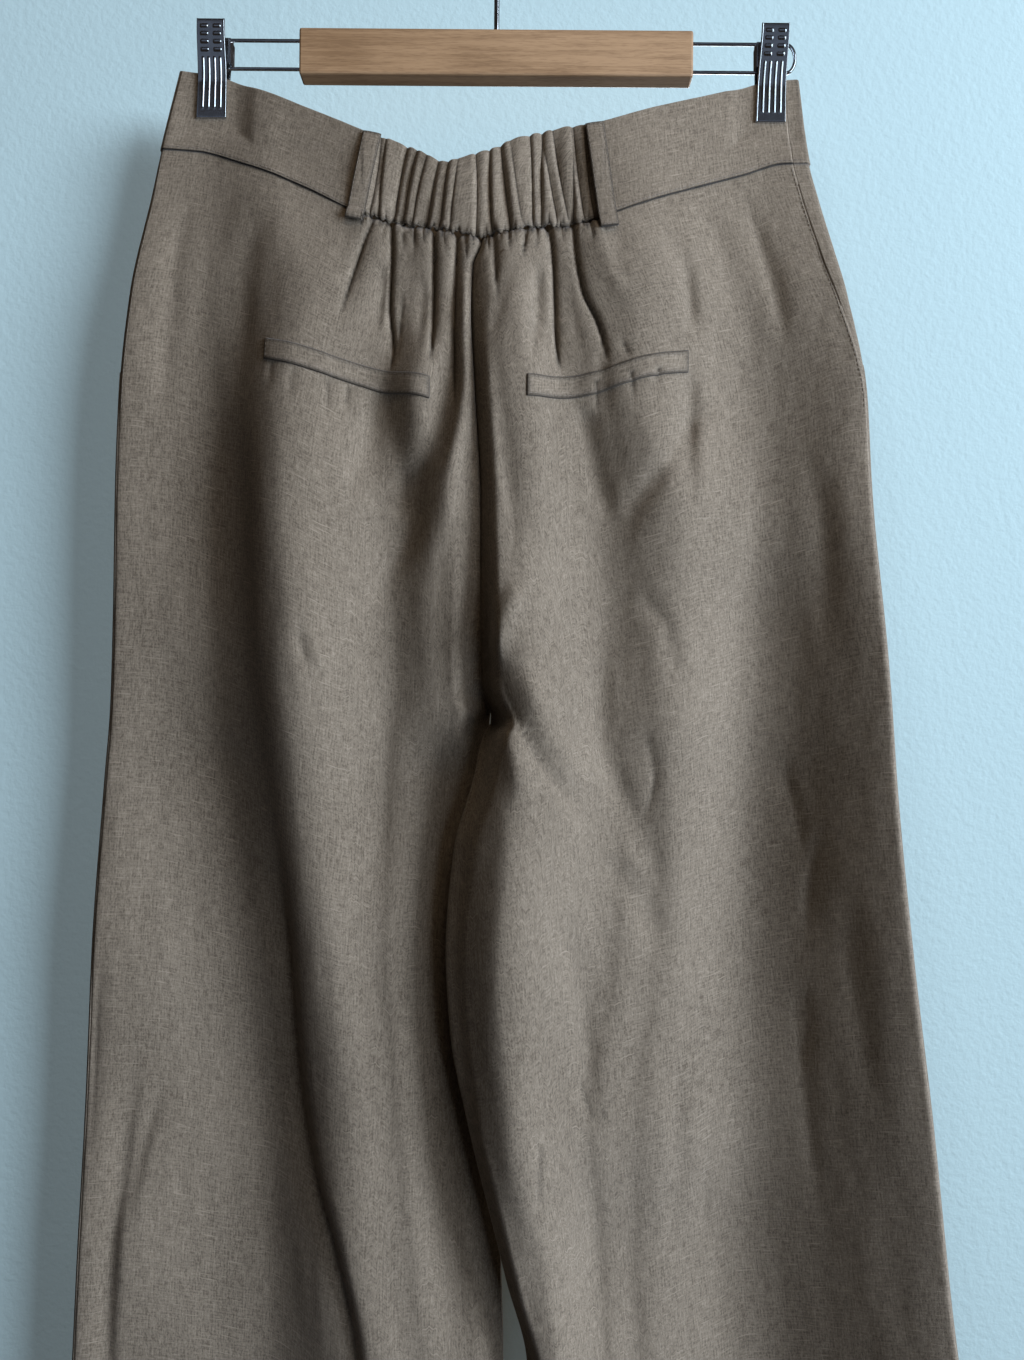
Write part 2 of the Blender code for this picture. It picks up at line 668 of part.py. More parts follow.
def flat_band_surface(side):
    """Flat end of the back waistband, from the side seam to the elastic."""
    end = 0 if side == LEFT else -1

    def surface(along, down):
        edge = [BACK_WAIST[line + "_x"][end] + -side * inset_at(side, BACK_WAIST[line + "_z"][end])
                for line in ("top", "seam")]
        elastic = ELASTIC_ENDS["top_x"][end], ELASTIC_ENDS["seam_x"][end]
        x, z = band_grid((edge, elastic), along, down)
        return form(side, -1, bowed(side, x, z), z)

    return surface


def front_band_surface(side):
    """Front waistband from its side seam, which lies on the back, round the side edge to the centre front."""
    end = 0 if side == LEFT else -1

    def surface(along, down):
        reach = []
        for line in ("top", "seam"):
            height = BACK_WAIST[line + "_z"][end]
            length = np.abs(BACK_WAIST[line + "_x"][end] - WAIST_CENTRE[line])
            distance = past_edge(-inset_at(side, height), length, EDGE_KNEE, along)
            reach.append((distance, waist_line(side, distance, line)))
        (top_run, top_z), (seam_run, seam_z) = reach
        z = top_z + (seam_z - top_z) * down
        run = top_run + (seam_run - top_run) * down
        edge = BACK_WAIST["top_x"][end] + (BACK_WAIST["seam_x"][end] - BACK_WAIST["top_x"][end]) * down
        x = bowed(side, edge - side * np.abs(run), z)
        return np.where((run < 0)[..., None], form(side, -1, x, z), form(side, 1, x, z))

    return surface


# ---------------------------------------------------------------- meshes
def material(name):
    """Principled material of a finish."""
    if name in bpy.data.materials:
        return bpy.data.materials[name]
    colour, roughness, metallic = FINISHES[name]
    made = bpy.data.materials.new(name)
    made.use_nodes = True
    shader = made.node_tree.nodes["Principled BSDF"]
    shader.inputs["Base Color"].default_value = (*colour, 1.0)
    shader.inputs["Roughness"].default_value = roughness
    shader.inputs["Metallic"].default_value = metallic
    return made


def place(name, vertices, faces, finish):
    """Object of a closed mesh given in millimetres, its faces turned outwards."""
    mesh = bpy.data.meshes.new(name)
    mesh.from_pydata([tuple(v) for v in np.asarray(vertices) * MM], [], [tuple(f) for f in faces])
    shell = bmesh.new()
    shell.from_mesh(mesh)
    bmesh.ops.recalc_face_normals(shell, faces=shell.faces)
    shell.to_mesh(mesh)
    shell.free()
    mesh.shade_smooth()
    mesh.set_sharp_from_angle(angle=math.radians(50))
    item = bpy.data.objects.new(name, mesh)
    mesh.materials.append(material(finish))
    bpy.context.scene.collection.objects.link(item)
    return item


def normals_of(surface, along, down, span):
    """Unit normals of a surface of two parameters, by small steps that stay inside its range."""
    low, high = min(span), max(span)
    run_step, fall_step = 1e-4, 1e-4 * (high - low)
    run = surface(np.clip(along + run_step, 0, 1), down) - surface(np.clip(along - run_step, 0, 1), down)
    above, below = np.clip(down - fall_step, low, high), np.clip(down + fall_step, low, high)
    fall = surface(along, below) - surface(along, above)
    normal = np.cross(run, fall)
    return normal / np.maximum(np.linalg.norm(normal, axis=-1, keepdims=True), 1e-12)


def squared(normals, where, axis):
    """Normals with one component taken out along a border, so that the wall is cut square to its seam."""
    normals = normals.copy()
    normals[where + (axis,)] = 0
    length = np.linalg.norm(normals[where], axis=-1, keepdims=True)
    normals[where] /= np.maximum(length, 1e-9)
    return normals


def square_cuts(normals, points, cuts):
    """Normals squared at the named borders: level at top and foot, upright at the inner end."""
    if "top" in cuts:
        normals = squared(normals, (0,), 2)
    if "foot" in cuts:
        normals = squared(normals, (-1,), 2)
    for border, column in (("start", 0), ("end", -1)):
        if border in cuts:
            above = points[:, column, 2] >= CROTCH_Z - 1
            rows = np.arange(len(points))
            normals = squared(normals, (rows[above], column), 0)
            normals = squared(normals, (rows[~above], column), 1)
    return normals


def trimmed(points):
    """Points with their border rows and columns drawn in along the cloth by half a seam gap."""
    points = points.copy()
    for lines in (points, np.swapaxes(points, 0, 1)):
        for end, towards in ((0, 1), (-1, -2)):
            step = lines[towards] - lines[end]
            length = np.linalg.norm(step, axis=-1, keepdims=True)
            lines[end] += step * np.minimum(SEAM_GAP / 2 / np.maximum(length, 1e-9), 0.8)
    return points


def sandwich(name, outer, inner, finish):
    """Closed body between two grids of points, both cut into triangles the same way."""
    rows, columns = outer.shape[:2]
    index = np.arange(rows * columns).reshape(rows, columns)
    a, b, c, d = (part.ravel() for part in (index[:-1, :-1], index[:-1, 1:], index[1:, 1:], index[1:, :-1]))
    flat = outer.reshape(-1, 3)
    first = np.linalg.norm(flat[a] - flat[c], axis=1) < np.linalg.norm(flat[b] - flat[d], axis=1)
    halves = np.where(first[:, None], np.stack([a, b, c, a, c, d], 1), np.stack([a, b, d, b, c, d], 1))
    skin = halves.reshape(-1, 3)
    count = rows * columns
    border = np.concatenate([index[0], index[1:, -1], index[-1, -2::-1], index[-2:0:-1, 0]])
    ahead = np.roll(border, -1)
    rim = np.stack([ahead, border, border + count, ahead, border + count, ahead + count], 1).reshape(-1, 3)
    faces = np.concatenate([skin, skin[:, ::-1] + count, rim])
    place(name, np.concatenate([flat, inner.reshape(-1, 3)]), faces, finish)


def cut_piece(name, surface, alongs, downs, thickness, cuts=("top",), lift=0.0):
    """Piece of cloth: a wall on a surface's grid, trimmed at its seams. Columns may differ between rows."""
    downs = np.asarray(downs, float)
    along = np.broadcast_to(alongs, (len(downs), np.shape(alongs)[-1]))
    down = np.broadcast_to(downs[:, None], along.shape)
    points = surface(along, down)
    normals = square_cuts(normals_of(surface, along, down, (downs[0], downs[-1])), points, cuts)
    points = trimmed(points) + normals * lift
    sandwich(name, points + normals * thickness / 2, points - normals * thickness / 2, "linen")
    return points


def facet_depth(grid, face, x, z):
    """How far a faceted piece stands out at (x, z); beyond its borders it counts as far below."""
    order = 1 if grid[0, -1, 0] > grid[0, 0, 0] else -1
    flat_x, flat_z = x.ravel(), z.ravel()
    line_z = np.array([np.interp(flat_x, row[::order, 0], row[::order, 2]) for row in grid])
    line_y = np.array([np.interp(flat_x, row[::order, 0], row[::order, 1]) for row in grid])
    row = np.clip((line_z > flat_z).sum(axis=0) - 1, 0, len(grid) - 2)
    point = np.arange(len(flat_x))
    top, foot = line_z[row, point], line_z[row + 1, point]
    share = np.clip((top - flat_z) / (top - foot), 0, 1)
    depth = face * (line_y[row, point] * (1 - share) + line_y[row + 1, point] * share)
    low, high = sorted((grid[0, 0, 0], grid[0, -1, 0]))
    outside = (flat_x < low - LAY_REACH) | (flat_x > high + LAY_REACH)
    outside |= (flat_z > line_z[0] + LAY_REACH) | (flat_z < line_z[-1] - LAY_REACH)
    return np.where(outside, -BELOW_ALL, depth).reshape(x.shape)


def laid_strip(name, grids, face, x, z, thickness, bulge=0.0):
    """Strip of cloth lying on faceted pieces: each point is moved out clear of the cloth round it."""
    depth = np.full(x.shape, -BELOW_ALL)
    for grid, half_wall in grids:
        for shift_x in (-LAY_REACH, 0, LAY_REACH):
            for shift_z in (-LAY_REACH, 0, LAY_REACH):
                near = facet_depth(grid, face, x + shift_x, z + shift_z) + half_wall
                depth = np.maximum(depth, near)
    under = np.stack([x, face * (depth + SEAM_GAP + bulge), z], axis=-1)
    outward = np.zeros_like(under)
    outward[..., 1] = face * thickness
    sandwich(name, under + outward, under, "linen")


def tube(name, path, radius, sides, finish, closed=False):
    """Round wire along a path of points, with flat ends, or joined end to end."""
    path = np.asarray(path, float)
    step = np.roll(path, -1, axis=0) - np.roll(path, 1, axis=0) if closed else np.gradient(path, axis=0)
    tangent = step / np.linalg.norm(step, axis=1, keepdims=True)
    side_way = np.array([0.0, 1.0, 0.0])
    across_way = np.cross(tangent, side_way)
    across_way /= np.linalg.norm(across_way, axis=1, keepdims=True)
    turns = np.linspace(0, 2 * math.pi, sides, endpoint=False)
    rings = path[:, None] + radius * (
        np.cos(turns)[None, :, None] * across_way[:, None] + np.sin(turns)[None, :, None] * side_way
    )
    count = len(path)
    faces = []
    for ring in range(count if closed else count - 1):
        after = (ring + 1) % count
        for here in range(sides):
            there = (here + 1) % sides
            near, far = ring * sides, after * sides
            faces.append((near + here, near + there, far + there, far + here))
    if not closed:
        faces.append(tuple(range(sides)))
        faces.append(tuple(range((count - 1) * sides, count * sides))[::-1])
    return place(name, rings.reshape(-1, 3), faces, finish)


# ---------------------------------------------------------------- hanger
def build_bar():
    """Wooden bar with eased edges."""
    bar = bmesh.new()
    bmesh.ops.create_cube(bar, size=1.0)
    for vertex in bar.verts:
        vertex.co.x *= BAR_LENGTH * MM
        vertex.co.y *= BAR_DEPTH * MM
        vertex.co.z = vertex.co.z * BAR_HEIGHT * MM + (BAR_TOP_Z - BAR_HEIGHT / 2) * MM
    bmesh.ops.bevel(bar, geom=bar.edges[:], offset=BAR_ROUND * MM, segments=2, profile=0.5, affect="EDGES")
    mesh = bpy.data.meshes.new("hanger_bar")
    bar.to_mesh(mesh)
    bar.free()
    mesh.materials.append(material("bar_wood"))
    item = bpy.data.objects.new("hanger_bar", mesh)
    bpy.context.scene.collection.objects.link(item)


def build_hook():
    """Wire hook: a stem out of the bar, a swing to one side and most of a turn."""
    radius = HOOK_INNER_RADIUS + HOOK_WIRE / 2
    stem = [np.array([0, 0, BAR_TOP_Z + SEAM_GAP + rise]) for rise in (0, HOOK_STEM / 2, HOOK_STEM)]
    turns = np.radians(np.linspace(*HOOK_TURN, 21))
    bow = [np.array([radius * math.cos(a), 0, -HOOK_INNER_RADIUS + radius * math.sin(a)]) for a in turns]
    leave = np.array([0, 0, HOOK_SWING])
    arrive = HOOK_SWING * np.array([-math.sin(turns[0]), 0, math.cos(turns[0])])
    neck = []
    for t in np.linspace(0, 1, 7)[1:-1]:
        swing = t * t * (3 - 2 * t)
        bend = t * (1 - t) ** 2 * leave + t * t * (t - 1) * arrive
        neck.append(stem[-1] * (1 - swing) + bow[0] * swing + bend)
    tube("hanger_hook", stem + neck + bow, HOOK_WIRE / 2, 8, "steel")


def build_rail(name, side, end):
    """Wire loop that slides in the bar and carries a clip."""
    start = side * (BAR_LENGTH / 2 + SEAM_GAP)
    rise = (RAIL_UPPER_Z - RAIL_LOWER_Z) / 2
    middle = (RAIL_UPPER_Z + RAIL_LOWER_Z) / 2
    turns = np.radians(np.linspace(90, -90, 9))
    knee = abs(end) - RAIL_BEND
    path = [(start, 0, RAIL_UPPER_Z)]
    path += [(side * (knee + RAIL_BEND * math.cos(a)), 0, middle + rise * math.sin(a)) for a in turns]
    path += [(start, 0, RAIL_LOWER_Z)]
    tube(name, path, RAIL_WIRE / 2, 8, "steel")


def jaw_gap(z):
    """Distance of a clip plate's inner side from the hanger's middle plane."""
    down = (CLIP_TOP_Z - z) / (CLIP_TOP_Z - CLIP_FOOT_Z)
    return CLIP_GRIP + (CLIP_OPEN - CLIP_GRIP) * (1 - ease(down / JAW_CLOSES))


def build_plate(name, x, lean, face):
    """A clip's plate: open at the handle, closed on the band, with upright ribs over its lower part."""
    pitch = 1.0 / RIB_COUNT
    ribs = [pitch * (rib + 0.5) + part * RIB_SHARE for rib in range(RIB_COUNT) for part in (-0.5, 0.0, 0.5)]
    alongs = np.array([0.0] + ribs + [1.0])
    rib_ends = (JAW_RIB_TOP - 0.02, JAW_RIB_TOP, JAW_CLOSES, JAW_RIB_FOOT, JAW_RIB_FOOT + 0.02)
    downs = np.array([0.0, 0.2, *rib_ends, 1.0])
    down, along = np.meshgrid(downs, alongs, indexing="ij")
    z = CLIP_TOP_Z + (CLIP_FOOT_Z - CLIP_TOP_Z) * down
    on_rib = np.tile([False, True, False], RIB_COUNT)
    raised = np.concatenate([[False], on_rib, [False]]) & (down >= JAW_RIB_TOP) & (down <= JAW_RIB_FOOT)
    place_x = x + (along - 0.5) * CLIP_WIDTH + lean * (CLIP_TOP_Z - z)
    inner = np.stack([place_x, face * jaw_gap(z), z], axis=-1)
    outer = np.stack([place_x, face * (jaw_gap(z) + CLIP_PLATE + RIB_HEIGHT * raised), z], axis=-1)
    sandwich(name, outer, inner, "steel")


def build_saddle(name, span):
    """Block between a rail's two wires on which a clip's plates are hinged."""
    top = RAIL_UPPER_Z - RAIL_WIRE / 2 - SEAM_GAP
    foot = RAIL_LOWER_Z + RAIL_WIRE / 2 + SEAM_GAP
    corners = []
    for x in span:
        for face in (-1, 1):
            corners += [(x, face * (jaw_gap(foot) - SEAM_GAP), foot), (x, face * SADDLE_DEPTH, top)]
    faces = [(0, 1, 3, 2), (4, 6, 7, 5), (0, 4, 5, 1), (2, 3, 7, 6), (0, 2, 6, 4), (1, 5, 7, 3)]
    place(name, corners, faces, "steel")


# ---------------------------------------------------------------- the whole part
def build_legs():
    """Leg panels, the slant pockets' facings and the back pockets' welts. Returns the panels' grids."""
    levels = np.array(LEG_ROWS_Z)
    settle = ease((GATHER_ROWS_Z - levels) / GATHER_ROWS_FADE)[:, None]
    back_columns = GATHERED_COLUMNS * (1 - settle) + HANGING_COLUMNS * settle
    front_columns = FRONT_COLUMNS
    panels = {}
    for side, name in ((LEFT, "left"), (RIGHT, "right")):
        cuts = ("top", "end")
        surface = back_leg_surface(side)
        panels["back", side] = cut_piece("back_leg_" + name, surface, back_columns, levels, LEG_WALL, cuts)
        surface = front_leg_surface(side)
        panels["front", side] = cut_piece("front_leg_" + name, surface, front_columns, levels, LEG_WALL, cuts)
        facing, falls = spread((EDGE_SHARE, 5), (1.0, 4)), spread((1.0, 5))
        slack = 0.2 + FACING_SLACK * ease(facing / EDGE_SHARE - 0.5)
        slack = slack + FACING_FOOT_SLACK * ease(falls * 3 - 2)[:, None]
        behind = -(LEG_WALL + SEAM_GAP + slack)[..., None]
        surface = facing_surface(side)
        cut_piece("pocket_facing_" + name, surface, facing, falls, LEG_WALL, lift=behind)
        rows = WELTS[side]
        x, down = np.meshgrid(np.linspace(rows["x"][0], rows["x"][-1], WELT_COLUMNS), [0, 1 / 3, 2 / 3, 1])
        z = curve(x, rows["x"], rows["z"]) - WELT_HEIGHT * down
        laid_strip("back_pocket_welt_" + name, [(panels["back", side], LEG_WALL / 2)], -1, x, z, WELT_WALL)
    return panels


def build_band(panels):
    """Waistband: the gathered back, its flat ends, the two fronts and the belt loops."""
    rows = spread((1.0, 3))
    cuts = ("top", "foot")
    bands = {"back": [], "front": []}
    elastic = cut_piece("waistband_back", elastic_surface, spread((1.0, 56)), rows, BAND_WALL, cuts)
    bands["back"].append(elastic)
    for side, name in ((LEFT, "left"), (RIGHT, "right")):
        end = 0 if side == LEFT else -1
        height = BACK_WAIST["seam_z"][end]
        start = BACK_WAIST["seam_x"][end] - side * inset_at(side, height)
        reach = np.abs(ELASTIC_ENDS["seam_x"][end] - start)
        share = (width_at(side, height) - inset_at(side, height)) / reach
        matched = GATHERED_COLUMNS[2:] * share
        columns = np.unique(np.concatenate([[0, 1], FLAT_BAND_COLUMNS, matched[matched < 0.98]]))
        surface = flat_band_surface(side)
        flat = cut_piece("waistband_back_" + name, surface, columns, rows, BAND_WALL, cuts)
        bands["back"].append(flat[:, ::side * -1])
        length = width_at(side, height)
        knee = POCKET_MOUTH + EDGE_KNEE
        distance = knee + (length - knee) * (FRONT_COLUMNS[5:-3] - EDGE_SHARE) / (1 - EDGE_SHARE)
        matched = EDGE_SHARE + (1 - EDGE_SHARE) * (distance - EDGE_KNEE) / (length - EDGE_KNEE)
        columns = np.concatenate([ROUND_COLUMNS[side], FRONT_BAND_COLUMNS, matched, [1.0]])
        front = cut_piece("waistband_front_" + name, front_band_surface(side), columns, rows, BAND_WALL, cuts)
        bands["front"].append(front[:, 7:])
    for name, (where, top, foot) in BELT_LOOPS.items():
        face = -1 if where == "back" else 1
        grids = [(band, BAND_WALL / 2) for band in bands[where]]
        grids += [(panels[where, side][:, 5:], LEG_WALL / 2) for side in (LEFT, RIGHT)]
        along, down = np.meshgrid([-0.5, 0.0, 0.5], np.linspace(0, 1, 9))
        run = np.subtract(foot, top)
        x = top[0] + run[0] * down - run[1] / math.hypot(*run) * LOOP_WIDTH * along
        z = top[1] + run[1] * down + run[0] / math.hypot(*run) * LOOP_WIDTH * along
        laid_strip(name, grids, face, x, z, LOOP_WALL, LOOP_BULGE * np.sin(math.pi * down))


def build_hanger():
    """Bar, hook, rails and the two clips."""
    build_bar()
    build_hook()
    build_rail("hanger_rail_left", LEFT, RAIL_LEFT_END)
    build_rail("hanger_rail_right", RIGHT, RAIL_RIGHT_END)
    for name, x, lean in (("left", CLIP_LEFT_X, CLIP_LEFT_LEAN), ("right", CLIP_RIGHT_X, CLIP_RIGHT_LEAN)):
        build_plate("clip_plate_back_" + name, x, lean, -1)
        build_plate("clip_plate_front_" + name, x, lean, 1)
        build_saddle("clip_saddle_" + name, SADDLE_SPANS[name])


def main():
    """Clear the scene and build every piece."""
    for item in list(bpy.data.objects):
        bpy.data.objects.remove(item, do_unlink=True)
    build_band(build_legs())
    build_hanger()


main()
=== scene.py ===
"""Finished looks of wide-leg linen trousers with an elasticated back waist, hung from a wooden clip hanger.

Sizes are in millimetres until a mesh is made, and meshes are in metres, +Z up. -Y is the garment's back, +Y
its front and +X the wearer's right. Each cloth piece is a grid of points on one shared form: at every height
the cloth runs round a ring from the side edge, over a back or a front layer, to the centre seam or inseam.
Folds are valleys and ridges laid over that form along their lines.
"""
import json
import logging
import math
from dataclasses import dataclass, field
from enum import Enum, IntEnum
from functools import partial
from typing import Callable, Dict, Mapping, Optional, Sequence, Tuple

import bpy
import numpy as np
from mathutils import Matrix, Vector

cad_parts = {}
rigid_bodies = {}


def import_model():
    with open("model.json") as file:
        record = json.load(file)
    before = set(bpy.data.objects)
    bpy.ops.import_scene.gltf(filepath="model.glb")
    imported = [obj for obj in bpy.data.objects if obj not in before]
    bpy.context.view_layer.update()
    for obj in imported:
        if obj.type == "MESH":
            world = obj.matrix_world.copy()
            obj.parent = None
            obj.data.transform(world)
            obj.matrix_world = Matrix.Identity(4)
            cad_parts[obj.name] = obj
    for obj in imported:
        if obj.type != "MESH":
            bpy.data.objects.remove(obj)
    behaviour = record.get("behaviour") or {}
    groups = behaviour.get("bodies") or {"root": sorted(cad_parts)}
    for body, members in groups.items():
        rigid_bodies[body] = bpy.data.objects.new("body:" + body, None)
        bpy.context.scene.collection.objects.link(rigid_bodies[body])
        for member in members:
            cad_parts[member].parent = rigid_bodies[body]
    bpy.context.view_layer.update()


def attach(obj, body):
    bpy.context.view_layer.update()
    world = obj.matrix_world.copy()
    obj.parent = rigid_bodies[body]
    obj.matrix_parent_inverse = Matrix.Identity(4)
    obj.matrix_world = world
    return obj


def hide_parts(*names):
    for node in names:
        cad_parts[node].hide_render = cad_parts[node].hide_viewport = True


MM = 0.001
NOISE_WAVES = 14
NOISE_GAIN = 1.9
LOG = logging.getLogger("trousers")

Array = np.ndarray
Table = Dict[str, Array]
Field = Callable[[Array, Array], Array]
Pair = Tuple[float, float]
Rows = Sequence[Sequence[float]]
Triple = Tuple[float, float, float]
Socket = bpy.types.NodeSocket


class Side(IntEnum):
    """Which half of the garment, by the sign of x."""

    LEFT = -1
    RIGHT = 1

    @property
    def word(self) -> str:
        """The side's name in a piece's name."""
        return self.name.lower()

    @property
    def end(self) -> int:
        """Index of the side's end in a table that runs from left to right."""
        return 0 if self is Side.LEFT else -1


class Face(IntEnum):
    """Which layer of the garment, by the sign of y."""

    BACK = -1
    FRONT = 1

    @property
    def word(self) -> str:
        """The layer's name in a piece's name."""
        return self.name.lower()


class Seed(IntEnum):
    """Which uneven pattern, for each place where the cloth has one."""

    SEAM_PUCKER = 3
    BACK_CRUMPLE = 11
    FRONT_CRUMPLE = 31
    SEAM_WAVER = 51
    ELASTIC_WAVES = 77
    ELASTIC_CRIMP = 79
    BAND_SLACK = 88
    BAND_CREASES = 89


class Hold(Enum):
    """How a sheet of cloth is held."""

    HUNG = "hung"
    GATHERED = "gathered"
    LAID = "laid"


def table(columns: str, rows: Rows) -> Table:
    """Named columns of a table of rows.

    Args:
        columns: The columns' names, separated by blanks.
        rows: The rows, in order.

    Returns:
        Each column as an array under its name.
    """
    return dict(zip(columns.split(), np.array(rows, float).T))


def halves(columns: str, left: Rows, right: Rows) -> Mapping[Side, Table]:
    """Two tables of the same columns, one for each half of the garment."""
    return {Side.LEFT: table(columns, left), Side.RIGHT: table(columns, right)}


# ---------------- the garment's sections
# Back layer: x is the place across and h how far the cloth stands out. From the side edge inwards: a hollow,
# a crest, a trough and an inner swell.
BACK: Mapping[Side, Table] = halves(
    "z edge_x edge_h hollow_x hollow_h crest_x crest_h trough_x trough_h swell_x swell_h",
    [
        (-110, -195.5, 1.6, -174, 1.2, -120, 8, -60, 15, -20, 18),
        (-159, -206.8, 3.5, -180, 2.6, -135, 8, -62, 14, -22, 18),
        (-187, -212.2, 5, -183, 4, -130, 12, -62, 14, -22, 20),
        (-250, -223.7, 10, -180, 6, -112, 23, -58, 14, -24, 20),
        (-310, -229.2, 11, -177, 5, -121, 31, -68, 17, -42, 28),
        (-373, -231.1, 11, -178, 5, -121, 37, -57, 17, -30, 28),
        (-447, -231.7, 11, -177, 7, -115, 39, -61, 16, -33, 25),
        (-504, -233.8, 9, -176, 1, -113, 35, -60, 14, -30, 19),
        (-546, -237.3, 8, -172, -3, -110, 31, -62, 12, -28, 6),
        (-646, -242.8, 11, -158, -3, -96, 26, -62, 17, -30, 2),
        (-745, -246.6, 10, -147, -6, -82, 23, -54, 17, -22, 2),
        (-844, -250.4, 12, -139, -5, -78, 25, -45, 18, -14, 8),
        (-906, -252.8, 12, -137, -4, -67, 24, -38, 19, -8, 14),
        (-1000, -256.5, 12, -132, -4, -64, 23, -36, 17, -14, 14),
        (-1150, -262, 12, -128, -4, -62, 22, -38, 17, -22, 14),
    ],
    [
        (-110, 186.5, 1.6, 171, 1.2, 72, 14, 40, 16, 10, 18),
        (-165, 194.1, 4, 168, 3, 70, 18, 38, 18, 10, 19),
        (-187, 199.6, 6, 165, 4, 76, 19, 38, 18, 10, 20),
        (-250, 215.2, 15, 157, 7, 82, 27, 38, 21, 8, 29),
        (-310, 225.6, 19, 160, 3, 84, 27, 48, 20, 8, 36),
        (-373, 228.3, 21, 165, 4, 106, 26, 60, 16, 15, 37),
        (-447, 235.5, 18, 167, -6, 107, 20, 70, 13, 13, 41),
        (-504, 240.5, 18, 167, -9, 106, 20, 72, 15, 20, 42),
        (-546, 243.2, 19, 168, -13, 106, 15, 82, 14, 16, 43),
        (-646, 252.4, 22, 165, -15, 104, 9, 78, 14, 9, 47),
        (-745, 264, 24, 168, -13, 92, 11, 62, 18, 15, 44),
        (-844, 274.4, 25, 161, -19, 94, -1, 72, 4, 34, 32),
        (-906, 281, 28, 165, -17, 96, 0, 74, 6, 44, 30),
        (-1000, 289, 26, 171, -15, 100, 2, 80, 8, 50, 28),
        (-1150, 299, 22, 178, -12, 106, 3, 84, 9, 52, 26),
    ],
)

# Front layer, with f how far the cloth stands out towards the front: a side swell, a middle, an inner swell.
FRONT: Mapping[Side, Table] = halves(
    "z side_x side_f middle_x middle_f swell_x swell_f",
    [
        (-110, -174, 1.2, -112, 9, -52, 14), (-159, -180, 2.8, -120, 11, -60, 15),
        (-250, -186, 11, -125, 21, -60, 17), (-373, -190, 17, -135, 27, -65, 20),
        (-504, -190, 20, -120, 25, -60, 22), (-546, -190, 20, -120, 26, -50, 20),
        (-646, -190, 21, -120, 26, -50, 24), (-745, -190, 22, -115, 30, -50, 24),
        (-844, -195, 22, -120, 27, -50, 22), (-906, -195, 22, -122, 24, -52, 24),
        (-1150, -200, 22, -130, 17, -60, 25),
    ],
    [
        (-110, 171, 1.2, 105, 9, 45, 14), (-165, 168, 3, 110, 12, 50, 15),
        (-250, 176, 14, 112, 20, 50, 18), (-373, 176, 22, 120, 27, 52, 20),
        (-504, 176, 28, 115, 26, 50, 22), (-546, 178, 30, 112, 24, 34, 16),
        (-646, 180, 32, 112, 24, 38, 18), (-745, 184, 32, 112, 26, 40, 18),
        (-844, 188, 33, 114, 26, 46, 16), (-906, 190, 33, 116, 24, 52, 18),
        (-1150, 200, 30, 126, 18, 66, 24),
    ],
)

CENTRE_SEAM: Table = table(
    "z x back front back_sink front_sink open",
    [
        (-110, -9, 18, 15, 0, 0, 14), (-160, -8.6, 19, 16, 0, 0, 14), (-222, -8.2, 21, 18, 0, 0, 14),
        (-237, -13.2, 21, 19, 0, 0, 14), (-262, -14, 22, 19, 0, 0, 14), (-310, -11.4, 25, 21, 0, 0, 14),
        (-373, -7.4, 28, 22, 2.5, 1, 15), (-447, -6.7, 30, 22, 12, 7, 17), (-484, -6.2, 28, 21, 19, 13, 18),
        (-494, -4.6, 26, 20, 19, 14, 19), (-504, -0.5, 24, 20, 19, 14, 20),
    ],
)

INSEAM: Mapping[Side, Table] = halves(
    "z x back front seam_y roll open",
    [
        (-504, -0.5, 24, 20, 0, 0, 20), (-510, -0.6, 21, 19.5, 3, 0.5, 21),
        (-516, 0, 18, 19, 5.5, 1.5, 22), (-546, 1, 0, 14, 8, 2.5, 20),
        (-646, 6, -6, 20, 13, 5, 12), (-745, 8, -6, 20, 13, 5, 12),
        (-844, 9, 0, 17, 9, 5, 12), (-906, 11, 8, 8, 0, 6, 12),
        (-1000, 4, 9, 7, 0, 6, 12), (-1150, -8, 9, 7, 0, 6, 12),
    ],
    [
        (-504, -0.5, 24, 20, 0, 0, 20), (-510, -0.1, 24.5, 16, -3, 0.5, 21),
        (-516, -4, 25, 12, -5.5, 1.5, 22), (-546, -11, 26, -4, -12, 2.5, 20),
        (-587, -22, 27, -8, -15, 5, 16), (-646, -26.2, 27, -9, -17, 5, 14),
        (-700, -22.6, 26, -9, -17, 5, 14), (-745, -13.4, 26, -8, -17, 5, 14),
        (-844, 11, 22, -3, -13, 5, 14), (-906, 25, 16, 4, -6, 5, 14),
        (-1000, 25, 14, 5, -4, 5, 14), (-1150, 18, 12, 5, -3, 5, 14),
    ],
)
